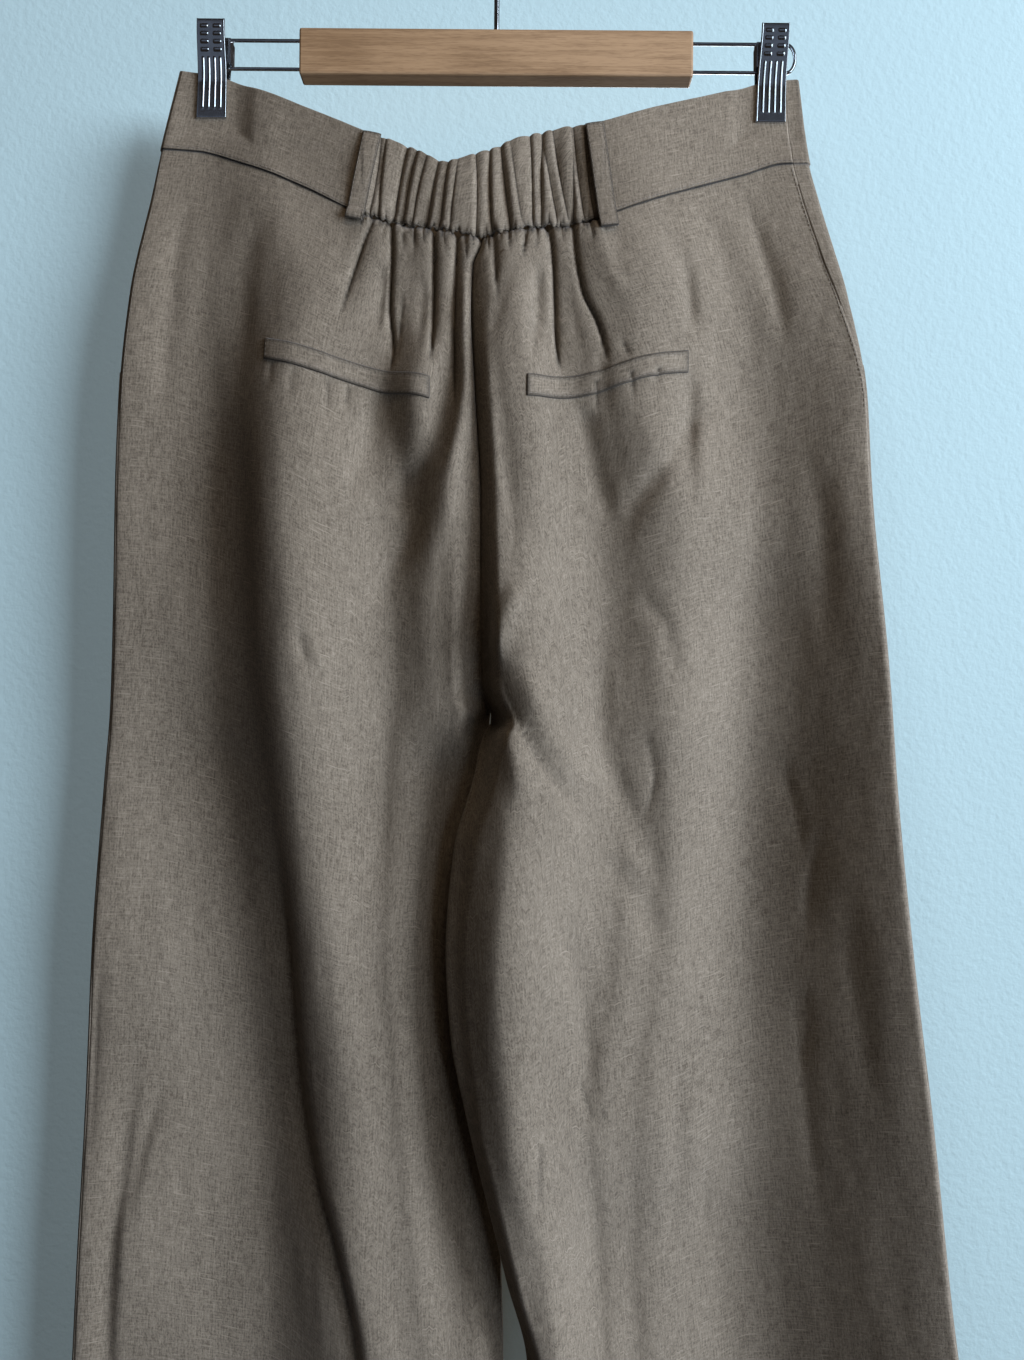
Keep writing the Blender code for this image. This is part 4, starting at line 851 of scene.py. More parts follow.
    def crumple(self, x: Array, z: Array, seed: int) -> Array:
        """Slight unevenness of washed linen: long soft waves, finer ones and low ridges, mostly upright.

        Args:
            x: Places across.
            z: Heights.
            seed: Which crumple.

        Returns:
            Its relief, fading in below the waistband.
        """
        waves = self.wave_rise * soft_noise(x, z, seed, self.wave_lengths)
        waves = waves + self.ripple_rise * soft_noise(x, z, seed + 5, self.ripple_lengths)
        ridges = 0.5 - np.abs(soft_noise(x, z, seed + 9, self.ridge_lengths))
        free = ease((self.crumple_top_z - z) / self.crumple_fade)
        return free * (waves + self.ridge_rise * np.clip(ridges, 0, 1))

    def elastic(self, x: Array, z: Array) -> Array:
        """Relief of the elastic waistband: pleats pressed in, with rounded puffs between them.

        Args:
            x: Places across.
            z: Heights.

        Returns:
            How far the band stands out of the form.
        """
        top_z = curve(x, BACK_WAIST["top_x"], BACK_WAIST["top_z"])
        seam_z = curve(x, BACK_WAIST["seam_x"], BACK_WAIST["seam_z"])
        down = np.clip((top_z - z) / (top_z - seam_z), 0, 1)
        relief = 0 * x
        for top, seam, depth, width, lean in zip(*(PLEATS[name] for name in PLEATS)):
            wander = self.pleat_wander * np.sin(3.0 * down + top)
            distance = x - top - (seam - top) * down - wander
            flank = width * (1 + lean * np.tanh(distance / width))
            strength = 0.5 + 0.5 * ease(down * 2.5) + 0.15 * np.sin(5 * down + 2 * top)
            relief = relief - depth * strength * valley(distance, flank)
        waves = self.elastic_waves * soft_noise(x, z, Seed.ELASTIC_WAVES, (16.0, 60.0))
        crimp = self.elastic_crimp * ease(down * 5 - 4) * soft_noise(x, z, Seed.ELASTIC_CRIMP, (4.0, 90.0))
        crimp = crimp - self.elastic_tuck * ease(down * 25 - 24)
        return relief + self.band_lift + self.elastic_puff * np.sin(math.pi * down) + waves + crimp

    def flat_band(self, x: Array, z: Array) -> Array:
        """Relief of the waistband's flat ends: nearly smooth, a little slack away from the clips."""
        slack = self.band_slack * soft_noise(x, z, Seed.BAND_SLACK, (70.0, 60.0))
        slack = slack + self.band_creases * soft_noise(x, z, Seed.BAND_CREASES, (12.0, 16.0))
        return self.band_lift + FORM.pinched(x, z, slack) - FORM.pinched(x, z, 0 * x)

    def back(self, x: Array, z: Array) -> Array:
        """Outward depth of whatever cloth shows at (x, z) on the back."""
        seam_z = self.waist_seam(BACK_WAIST, x)
        elastic = (x > ELASTIC_ENDS["top_x"][0] - 3) & (x < ELASTIC_ENDS["top_x"][1] + 3)
        band = np.where(elastic, self.elastic(x, z), self.flat_band(x, z))
        leg = np.where(x < FORM.centre(z), *(self.back_leg(side, x, z) for side in Side))
        return -FORM.either(Face.BACK, x, z, np.where(z > seam_z, band, leg))[..., 1]

    def depth(self, face: Face, x: Array, z: Array) -> Array:
        """Outward depth of whatever cloth shows at (x, z) on the back or the front."""
        return self.back(x, z) if face is Face.BACK else self.front(x, z)

    def front(self, x: Array, z: Array) -> Array:
        """Outward depth of whatever cloth shows at (x, z) on the front."""
        leg = np.where(x < FORM.centre(z), *(self.front_leg(side, x, z) for side in Side))
        relief = np.where(z > self.waist_seam(FRONT_WAIST, x), self.flat_band(x, z), leg)
        return FORM.either(Face.FRONT, x, z, relief)[..., 1]


DRAPE = Drape()


# ---------------- shader building
class Graph:
    """A node tree with short calls to add and join nodes.

    A value passed to these calls is a socket to link or a plain number or colour to set.
    """

    def __init__(self, tree: bpy.types.NodeTree) -> None:
        """Start on an empty tree."""
        self.tree = tree
        tree.nodes.clear()

    def add(self, kind: str, **settings: object) -> bpy.types.Node:
        """Add a node.

        Args:
            kind: The node's type, without its ShaderNode prefix.
            **settings: Its properties.

        Returns:
            The new node.
        """
        node = self.tree.nodes.new(kind if kind.startswith("Node") else "ShaderNode" + kind)
        for name, value in settings.items():
            setattr(node, name, value)
        return node

    def join(self, source: Socket, target: Socket) -> None:
        """Link two sockets."""
        self.tree.links.new(source, target)

    def feed(self, target: Socket, value: object) -> None:
        """Link a socket into the target, or set the target to a plain value."""
        if isinstance(value, Socket):
            self.join(value, target)
        else:
            target.default_value = value

    def maths(self, operation: str, *values: object) -> Socket:
        """A Math node's result on sockets or numbers."""
        node = self.add("Math", operation=operation)
        for slot, value in enumerate(values):
            self.feed(node.inputs[slot], value)
        return node.outputs[0]

    def set(self, node: bpy.types.Node, **values: object) -> bpy.types.Node:
        """Feed a node's inputs, named with underscores for the blanks, and hand the node back."""
        for name, value in values.items():
            self.feed(node.inputs[name.replace("_", " ")], value)
        return node

    def scaled(self, vector: Socket, scale: Triple) -> Socket:
        """A vector multiplied part by part."""
        node = self.add("VectorMath", operation="MULTIPLY")
        self.join(vector, node.inputs[0])
        node.inputs[1].default_value = scale
        return node.outputs[0]

    def noise(self, vector: Socket, scale: float, detail: float = 2) -> Socket:
        """Noise texture value at a vector."""
        return self.set(self.add("TexNoise"), Vector=vector, Scale=scale, Detail=detail).outputs["Fac"]

    def mix(self, share: Socket, first: object, second: object) -> Socket:
        """Two colours mixed by a share."""
        ends = [end if isinstance(end, Socket) else (*end, 1) for end in (first, second)]
        node = self.add("Mix", data_type="RGBA")
        return self.set(node, Factor=share, A=ends[0], B=ends[1]).outputs["Result"]

    def blend(self, value: Socket, *others: Tuple[Socket, float]) -> Socket:
        """A value plus others, each times its weight."""
        for other, weight in others:
            value = self.maths("ADD", value, self.maths("MULTIPLY", other, weight))
        return value

    def span(self, value: Socket, source: Pair, to: Pair) -> Socket:
        """A value mapped from one range to another, and held inside it."""
        ends = dict(zip(("From_Min", "From_Max", "To_Min", "To_Max"), (*source, *to)))
        return self.set(self.add("MapRange"), Value=value, **ends).outputs["Result"]

    def finish(self, relief: Socket, distance: float, strength: float = 1, **surface: object) -> Socket:
        """A principled surface with a bumped normal.

        Args:
            relief: Height of the bumps.
            distance: Their depth, in metres.
            strength: Their strength.
            **surface: The surface's other inputs, named with underscores for the blanks.

        Returns:
            The surface's shader.
        """
        bump = self.set(self.add("Bump"), Strength=strength, Distance=distance, Height=relief)
        shader = self.set(self.add("BsdfPrincipled"), Normal=bump.outputs["Normal"], **surface)
        return shader.outputs["BSDF"]


def group_of(name: str, inputs: Mapping[str, float],
             outputs: Sequence[str]) -> Tuple[bpy.types.NodeTree, Graph]:
    """A shader node group with a vector input, named value inputs and value outputs.

    Args:
        name: The group's name.
        inputs: Value inputs and their defaults.
        outputs: Value outputs.

    Returns:
        The group and a graph to fill it with.
    """
    group = bpy.data.node_groups.new(name, "ShaderNodeTree")
    group.interface.new_socket("Vector", in_out="INPUT", socket_type="NodeSocketVector")
    for label, value in inputs.items():
        socket = group.interface.new_socket(label, in_out="INPUT", socket_type="NodeSocketFloat")
        socket.default_value = value
    for label in outputs:
        group.interface.new_socket(label, in_out="OUTPUT", socket_type="NodeSocketFloat")
    return group, Graph(group)


def weave_group() -> bpy.types.NodeTree:
    """Plain linen weave on flat coordinates in metres.

    Warp and weft threads are |sin| ridges that take turns on top; slubs are noise drawn out along the yarns.

    Returns:
        The group. Its outputs are Thread (the yarns' height), Slub (thick and thin) and Blotch (uneven dye).
    """
    name = "linen weave"
    if name in bpy.data.node_groups:
        return bpy.data.node_groups[name]
    group, g = group_of(name, {"Yarns per metre": 1500.0}, ("Thread", "Slub", "Blotch"))
    source, sink = g.add("NodeGroupInput"), g.add("NodeGroupOutput")
    vector = source.outputs["Vector"]
    wobble = g.noise(g.scaled(vector, (1, 1, 0)), 140)
    parts = g.add("SeparateXYZ")
    g.join(vector, parts.inputs[0])
    turns = []
    for axis in (0, 1):
        along = g.maths("MULTIPLY", parts.outputs[axis], source.outputs["Yarns per metre"])
        along = g.maths("MULTIPLY", along, math.pi)
        turns.append(g.maths("SINE", g.blend(along, (wobble, 2.4))))
    warp, weft = (g.maths("ABSOLUTE", turn) for turn in turns)
    over = g.span(g.maths("MULTIPLY", *turns), (-0.15, 0.15), (0, 1))
    under = g.maths("MULTIPLY", weft, g.maths("SUBTRACT", 1, over))
    thread = g.maths("ADD", g.maths("MULTIPLY", warp, over), under)
    upright = g.noise(g.scaled(vector, (1000, 120, 0)), 1, 3)
    level = g.noise(g.scaled(vector, (120, 1000, 0)), 1, 3)
    fibre = g.noise(g.scaled(vector, (1, 0.6, 0)), 1050, 1)
    long_slub = g.noise(g.scaled(vector, (900, 22, 0)), 1, 2)
    rare = g.span(g.noise(g.scaled(vector, (60, 900, 0)), 1, 1), (0.66, 0.8), (0, 0.35))
    slub = g.blend(g.maths("MULTIPLY", upright, 0.34), (level, 0.26), (fibre, 0.30), (long_slub, 0.10))
    blotch = g.noise(g.scaled(vector, (1, 0.55, 0)), 16, 4)
    g.set(sink, Thread=thread, Slub=g.maths("ADD", slub, rare), Blotch=blotch)
    return group


class Finish:
    """A surface's look: each finish fills a node tree, and its material is built once."""

    name: str

    def look(self, g: Graph) -> Socket:
        """Fill the node tree and hand back its shader."""
        raise NotImplementedError

    def material(self) -> bpy.types.Material:
        """The finish's material, built at the first call.

        Returns:
            The material, the same one at every call.
        """
        made = bpy.data.materials.get(self.name)
        if made is None:
            made = bpy.data.materials.new(self.name)
            made.use_nodes = True
            g = Graph(made.node_tree)
            g.join(self.look(g), g.add("OutputMaterial").inputs["Surface"])
        return made


@dataclass(frozen=True)
class Linen(Finish):
    """Washed linen: slubby plain weave, paler for wear and painted highlights, darker for painted shade.

    Attributes:
        name: The material's name.
        shade: Colour of the darker yarns.
        tint: Colour of the paler yarns.
        worn_and_lit: Colour of edges pale with wear, and of the painted highlight on a fold's lip.
        seam: Near-black colour of the painted shade in seam ditches, fold feet and outlines.
        bump: Depth of the weave, in metres.
        sheen: Weight of the soft fibre sheen.
        seam_share: How much of that colour the painted shade takes at most.
    """

    name: str = "linen_khaki"
    shade: Triple = (0.088, 0.067, 0.045)
    tint: Triple = (0.272, 0.220, 0.160)
    # pale colour of wear, also used for the painted highlight on folds
    worn_and_lit: Triple = (0.27, 0.225, 0.175)
    # near-black colour of the painted shade
    seam: Triple = (0.02, 0.015, 0.01)
    bump: float = 0.00022
    sheen: float = 0.12
    seam_share: float = 0.88

    def look(self, g: Graph) -> Socket:
        """Weave and slubs from the piece's flat map; wear, painted highlights and painted shade from its
        attributes.

        Args:
            g: The node tree.

        Returns:
            The shader.
        """
        flat = g.add("UVMap", uv_map="flat").outputs["UV"]
        weave = g.set(g.add("Group", node_tree=weave_group()), Vector=flat).outputs
        slub = g.span(weave["Slub"], (0.40, 0.62), (0, 1))
        thread = g.span(weave["Thread"], (0, 1), (0, 1))
        share = g.blend(g.maths("MULTIPLY", slub, 0.8), (thread, 0.14))
        share = g.maths("ADD", share, g.span(weave["Blotch"], (0.3, 0.7), (-0.06, 0.14)))
        colour = g.mix(share, self.shade, self.tint)
        # paler for wear at borders and for the painted highlight on a fold's lip
        edge = g.add("Attribute", attribute_name="edge_wear").outputs["Fac"]
        rubbed_and_lit = g.maths("MULTIPLY", edge, g.span(weave["Slub"], (0.35, 0.65), (0.05, 0.4)))
        colour = g.mix(rubbed_and_lit, colour, self.worn_and_lit)
        # painted shade: seams, fold feet and outlines darkened towards the seam colour
        ditch = g.add("Attribute", attribute_name="seam_shade").outputs["Fac"]
        return g.finish(
            g.blend(weave["Thread"], (weave["Slub"], 2.2)), self.bump, 0.55,
            Base_Color=g.mix(g.maths("MULTIPLY", ditch, self.seam_share), colour, self.seam),
            Roughness=g.span(weave["Slub"], (0.3, 0.7), (0.94, 0.82)),
            Sheen_Weight=self.sheen, Sheen_Roughness=0.45, Specular_IOR_Level=0.22,
        )


@dataclass(frozen=True)
class Thread(Finish):
    """Sewing thread: two plies wound round each other."""

    name: str = "sewing_thread"
    shade: Triple = (0.11, 0.088, 0.062)
    tint: Triple = (0.215, 0.178, 0.135)

    def look(self, g: Graph) -> Socket:
        """A slanted ply pattern on Object coordinates."""
        wave = g.add("TexWave", bands_direction="DIAGONAL")
        place = g.add("TexCoord").outputs["Object"]
        ply = g.set(wave, Vector=place, Scale=900.0, Distortion=1.5).outputs["Fac"]
        return g.finish(ply, 0.00005, Base_Color=g.mix(ply, self.shade, self.tint), Roughness=0.6)


@dataclass(frozen=True)
class Wood(Finish):
    """Oiled pale hardwood with its grain along x."""

    name: str = "wood_oiled"
    early: Triple = (0.365, 0.224, 0.118)
    late: Triple = (0.225, 0.128, 0.062)

    def look(self, g: Graph) -> Socket:
        """Long growth bands, fine pores and a satin finish.

        Args:
            g: The node tree.

        Returns:
            The shader.
        """
        place = g.add("TexCoord").outputs["Object"]
        bands = g.noise(g.scaled(place, (16, 380, 480)), 1, 6)
        pores = g.noise(g.scaled(place, (150, 1300, 1500)), 1, 2)
        cloud = g.noise(g.scaled(place, (1, 2, 2.5)), 16, 3)
        share = g.span(bands, (0.42, 0.60), (0, 0.55))
        share = g.maths("ADD", share, g.span(pores, (0.46, 0.66), (0, 0.45)))
        share = g.maths("ADD", share, g.span(cloud, (0.35, 0.65), (-0.2, 0.3)))
        return g.finish(
            g.blend(bands, (pores, -0.6)), 0.0002, 0.35, Base_Color=g.mix(share, self.early, self.late),
            Roughness=g.span(pores, (0.4, 0.7), (0.42, 0.58)), Coat_Weight=0.12, Coat_Roughness=0.35,
        )


@dataclass(frozen=True)
class Chrome(Finish):
    """Bright plated steel with fine scratches and slight smudges."""

    name: str = "steel_plated"
    bright: Triple = (0.70, 0.74, 0.80)
    dull: Triple = (0.48, 0.52, 0.58)

    def look(self, g: Graph) -> Socket:
        """Smudges change its roughness and tone, scratches its surface.

        Args:
            g: The node tree.

        Returns:
            The shader.
        """
        place = g.add("TexCoord").outputs["Object"]
        smudge = g.noise(place, 130, 4)
        scratch = g.noise(g.scaled(place, (260, 900, 2600)), 1, 2)
        dimmed = g.span(smudge, (0.4, 0.7), (0, 0.5))
        return g.finish(
            scratch, 0.00004, 0.25, Base_Color=g.mix(dimmed, self.bright, self.dull), Metallic=1.0,
            Roughness=g.span(smudge, (0.35, 0.7), (0.12, 0.26)),
        )


@dataclass(frozen=True)
class Paint(Finish):
    """Matt paint with a fine uneven surface, seen from its front only."""

    name: str
    colour: Triple
    grain: float = 0.0

    def look(self, g: Graph) -> Socket:
        """Slightly cloudy paint, clear from behind.

        Args:
            g: The node tree.

        Returns:
            The shader.
        """
        place = g.add("TexCoord").outputs["Object"]
        tone = g.mix(g.noise(place, 5, 3), tuple(part * 0.97 for part in self.colour), self.colour)
        paint = g.finish(g.noise(place, 260, 4), self.grain, 0.6, Base_Color=tone, Roughness=0.85)
        both = g.add("MixShader")
        behind = g.add("NewGeometry").outputs["Backfacing"]
        for slot, source in enumerate((behind, paint, g.add("BsdfTransparent").outputs["BSDF"])):
            g.join(source, both.inputs[slot])
        return both.outputs["Shader"]


LINEN = Linen()
THREAD = Thread()
WOOD = Wood()
CHROME = Chrome()
WALL_PAINT = Paint("wall_paint", (0.60, 0.72, 0.76), 0.0009)
FLOOR_PAINT = Paint("floor_paint", (0.42, 0.43, 0.44))


# ---------------- meshes
def place_in_scene(name: str, data: bpy.types.ID) -> bpy.types.Object:
    """A new object of a mesh, lamp or camera, at the origin of the scene."""
    item = bpy.data.objects.new(name, data)
    bpy.context.scene.collection.objects.link(item)
    return item


def put(name: str, vertices: Array, faces: Array, finish: Finish,
        replaces: Sequence[str] = ()) -> bpy.types.Object:
    """An object of a mesh given in millimetres, riding on the hanger's one body.

    Args:
        name: The piece's name.
        vertices: Points in millimetres.
        faces: Rows of vertex indices.
        finish: Its finish.
        replaces: The CAD nodes that it stands for.

    Returns:
        The object, at the origin.
    """
    mesh = bpy.data.meshes.new(name)
    mesh.from_pydata((vertices * MM).tolist(), [], faces.tolist())
    mesh.update()
    mesh.shade_smooth()
    mesh.materials.append(finish.material())
    item = place_in_scene(name, mesh)
    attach(item, "root")
    if replaces:
        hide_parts(*replaces)
    return item


def grid_faces(rows: int, columns: int) -> Array:
    """Four-sided faces of a grid of points, row by row."""
    index = np.arange(rows * columns).reshape(rows, columns)
    corners = (index[:-1, :-1], index[:-1, 1:], index[1:, 1:], index[1:, :-1])
    return np.stack([part.ravel() for part in corners], axis=1)


def travelled(points: Array, axis: int) -> Array:
    """Distance along a grid's rows or columns, from each one's first point."""
    step = np.linalg.norm(np.diff(points, axis=axis), axis=-1)
    start = np.zeros_like(np.take(step, [0], axis=axis))
    return np.concatenate([start, np.cumsum(step, axis=axis)], axis=axis)


def read_along(points: Array, gone: Array, at: Array) -> Array:
    """Points of a path, whose distances from its start are gone, at other distances."""
    return np.stack([np.interp(at, gone, points[:, axis]) for axis in range(3)], axis=-1)


@dataclass
class ClothPiece:
    """One cut piece of cloth: a grid of points, given its thickness by a Solidify modifier.

    Attributes:
        node: The CAD node that it stands for, which also names it.
        points: Grid of points, the first row at its top.
        outward: Sign of y on its outer side.
        flat: Width and length that it was cut to, in metres; not used here.
        area: Its flat area where the cut is not a rectangle, in square metres; not used here.
        hold: How it is held; not used here.
        rests_on: What it hangs from or lies on; not used here.
        wall: The cloth's thickness with its turned-in seams.
        wear: Reach of the paler band of wear along its borders; on the welts it is also a painted highlight.
        head_ditch: Reach of the painted shade below its top seam, one value or one a column.
        foot_ditch: Reach of the painted shade above its bottom seam, one value or one a column.
        outline: Reach of the painted shade along all its borders.
        lip_bend: Bend that gives a fold's lip a painted highlight, per mm.
        lip_start: Share of that bend which leaves it as it is.
        fold_bend: Bend that puts painted shade in a fold's foot, per mm.
        fold_start: Share of that bend which leaves it as it is.
        fold_spread: Share of a foot's painted shade that its neighbours take.
    """

    node: str
    points: Array
    outward: int
    flat: Pair
    area: Optional[float] = None
    hold: Hold = Hold.HUNG
    rests_on: Tuple[str, ...] = ("hanger_bar",)
    wall: float = 0.9
    wear: float = 1.6
    head_ditch: Array | float = 0.0
    foot_ditch: Array | float = 0.0
    outline: float = 0.0
    lip_bend: float = 0.6
    lip_start: float = 0.3
    fold_bend: float = 0.8
    fold_start: float = 0.15
    fold_spread: float = 0.6

    def bend(self, points: Array, across: Array) -> Array:
        """How sharply the rows bend inwards: the change of slope between a point's two neighbours.

        Args:
            points: Grid of points.
            across: Distance along each row.

        Returns:
            The bend at each point, per mm.
        """
        step = np.maximum(np.abs(np.diff(across, axis=1)), 0.05)
        slope = np.diff(points[..., 1], axis=1) * self.outward / step
        turned = np.zeros_like(across)
        turned[:, 1:-1] = np.diff(slope, axis=1) / ((step[:, 1:] + step[:, :-1]) / 2)
        return turned

    def build(self) -> bpy.types.Object:
        """Wear and painted shade fade from the borders; a fold's bend adds painted highlight and painted
        shade.

        Returns:
            The piece.
        """
        points, head, foot = self.points, self.head_ditch, self.foot_ditch
        rows, columns = points.shape[:2]
        across, down = travelled(points, 1), travelled(points, 0)
        run, fall = np.diff(points, axis=1), np.diff(points, axis=0)
        facing = np.cross(run[:-1], fall[:, :-1])[..., 1].sum() * self.outward
        if facing < 0:
            points, across, down = points[:, ::-1], across[:, ::-1], down[:, ::-1]
            head, foot = np.atleast_1d(head)[::-1], np.atleast_1d(foot)[::-1]
        faces = grid_faces(rows, columns)
        item = put(self.node + "_cloth", points.reshape(-1, 3), faces, LINEN, (self.node,))
        mesh = item.data
        flat = np.stack([across, -down], axis=-1).reshape(-1, 2) * MM
        layer = mesh.uv_layers.new(name="flat")
        layer.data.foreach_set("uv", flat[faces.ravel()].astype(np.float32).ravel())
        far_side = across[:, -1:] if facing >= 0 else across[:, :1]
        borders = np.minimum.reduce([across, np.abs(far_side - across), down, down[-1:] - down])
        bend = self.bend(points, across)
        # painted highlight where a fold turns outwards sharply, joined with the wear along the borders
        lip_highlight = np.clip(-bend / self.lip_bend - self.lip_start, 0, 1)
        rubbed_and_lit = np.maximum(np.clip(1 - borders / self.wear, 0, 1), lip_highlight)
        # painted shade at the foot of a sharp fold, spread to its neighbours
        creased = np.clip(bend / self.fold_bend - self.fold_start, 0, 1)
        beside = np.maximum(np.roll(creased, 1, axis=1), np.roll(creased, -1, axis=1))
        shade = np.maximum(creased, self.fold_spread * beside)
        # painted shade below the top seam, above the bottom seam and along the outline
        for near, reach in ((down, head), (down[-1:] - down, foot), (borders, self.outline)):
            fading = np.clip(1 - near / np.maximum(reach, 1e-3), 0, 1)
            shade = np.maximum(shade, fading * (np.asarray(reach) > 0))
        for label, values in (("edge_wear", rubbed_and_lit), ("seam_shade", shade)):
            attribute = mesh.attributes.new(label, "FLOAT", "POINT")
            attribute.data.foreach_set("value", values.astype(np.float32).ravel())
        thick = item.modifiers.new("cloth", "SOLIDIFY")
        thick.thickness = self.wall * MM
        thick.offset = 0.0
        LOG.info("%s: %d x %d points", item.name, rows, columns)
        return item


@dataclass(frozen=True)
class Stitching:
    """A row of sewn stitches: short bowed threads that dip into the cloth at both ends."""

    pitch: float = 3.1
    length: float = 2.5
    radius: float = 0.2
    rise: float = 0.28
    sides: int = 6
    thickness: Tuple[float, ...] = (0.55, 1.0, 1.05, 1.0, 0.55)

    def build(self, name: str, rows: Sequence[Tuple[Array, Array]]) -> bpy.types.Object:
        """Lay stitches in rows on the cloth.

        Each stitch is a tube, thinner at its ends, bowed outwards by a half wave of a cosine.

        Args:
            name: The piece's name.
            rows: The points along each row, and the cloth's outward direction at those points.

        Returns:
            One object that holds every stitch.
        """
        turns = np.linspace(0, 2 * math.pi, self.sides, endpoint=False)
        stations = np.linspace(-0.5, 0.5, len(self.thickness))
        thick = self.radius * np.array(self.thickness)
        bow = self.rise * (np.cos(stations * math.pi) - 0.45)
        along = np.repeat(stations * self.length, self.sides)
        sideways = (thick[:, None] * np.cos(turns)).ravel()
        lift = (thick[:, None] * np.sin(turns)).ravel() + np.repeat(bow, self.sides)
        around = np.arange(self.sides)
        after = (around + 1) % self.sides
        ring = np.arange(len(stations) - 1)[:, None] * self.sides
        far = ring + self.sides
        tube = np.stack([ring + around, ring + after, far + after, far + around], axis=-1)
        vertices, faces, count = [], [], 0
        for path, outward in rows:
            gone = travelled(path[None], 1)[0]
            centres = np.arange(self.pitch / 2, gone[-1], self.pitch)
            forward = read_along(path, gone, centres + 0.5) - read_along(path, gone, centres - 0.5)
            forward /= np.linalg.norm(forward, axis=1, keepdims=True)
            out = read_along(outward, gone, centres)
            out = out - forward * (out * forward).sum(axis=1, keepdims=True)
            out /= np.linalg.norm(out, axis=1, keepdims=True)
            ways = (forward, np.cross(forward, out), out)
            parts = [size[None, :, None] * way[:, None] for size, way in zip((along, sideways, lift), ways)]
            made = read_along(path, gone, centres)[:, None] + parts[0] + parts[1] + parts[2]
            first = np.arange(len(centres)) * len(along) + count
            vertices.append(made.reshape(-1, 3))
            faces.append((tube.reshape(1, -1, 4) + first[:, None, None]).reshape(-1, 4))
            count += len(centres) * len(along)
        return put(name, np.concatenate(vertices), np.concatenate(faces)[:, ::-1], THREAD)


def spaced(*stretches: Tuple[float, int]) -> Array:
    """Numbers from 0 to 1 in even stretches, each given by its end and its count of steps.

    Args:
        *stretches: The end and count of each stretch.

    Returns:
        The numbers, in rising order.
    """
    numbers = [0.0]
    for end, count in stretches:
        numbers += list(np.linspace(numbers[-1], end, count + 1)[1:])
    return np.array(numbers)


def surface_grid(surface: Field, alongs: Array, downs: Array) -> Array:
    """Points of a surface of two parameters on the grid of its columns and rows."""
    along, down = np.meshgrid(alongs, downs)
    return surface(along, down)


def outward_of(face: Face, x: Array, z: Array, reach: float = 1.0) -> Array:
    """Outward unit direction of the finished cloth, by central differences of its depth.

    Args:
        face: Back or front side.
        x: Places across.
        z: Heights.
        reach: Distance to the places compared.

    Returns:
        The direction at (x, z).
    """
    over_x = (DRAPE.depth(face, x + reach, z) - DRAPE.depth(face, x - reach, z)) / (2 * reach)
    over_z = (DRAPE.depth(face, x, z + reach) - DRAPE.depth(face, x, z - reach)) / (2 * reach)
    normal = np.stack([-over_x, face * np.ones_like(x), -over_z], axis=-1)
    return normal / np.linalg.norm(normal, axis=-1, keepdims=True)


def on_cloth(face: Face, x: Array, z: Array, lift: Array | float) -> Tuple[Array, Array]:
    """Points lifted off the cloth along its outward direction, and that direction."""
    out = outward_of(face, x, z)
    return np.stack([x, face * DRAPE.depth(face, x, z), z], axis=-1) + out * lift, out


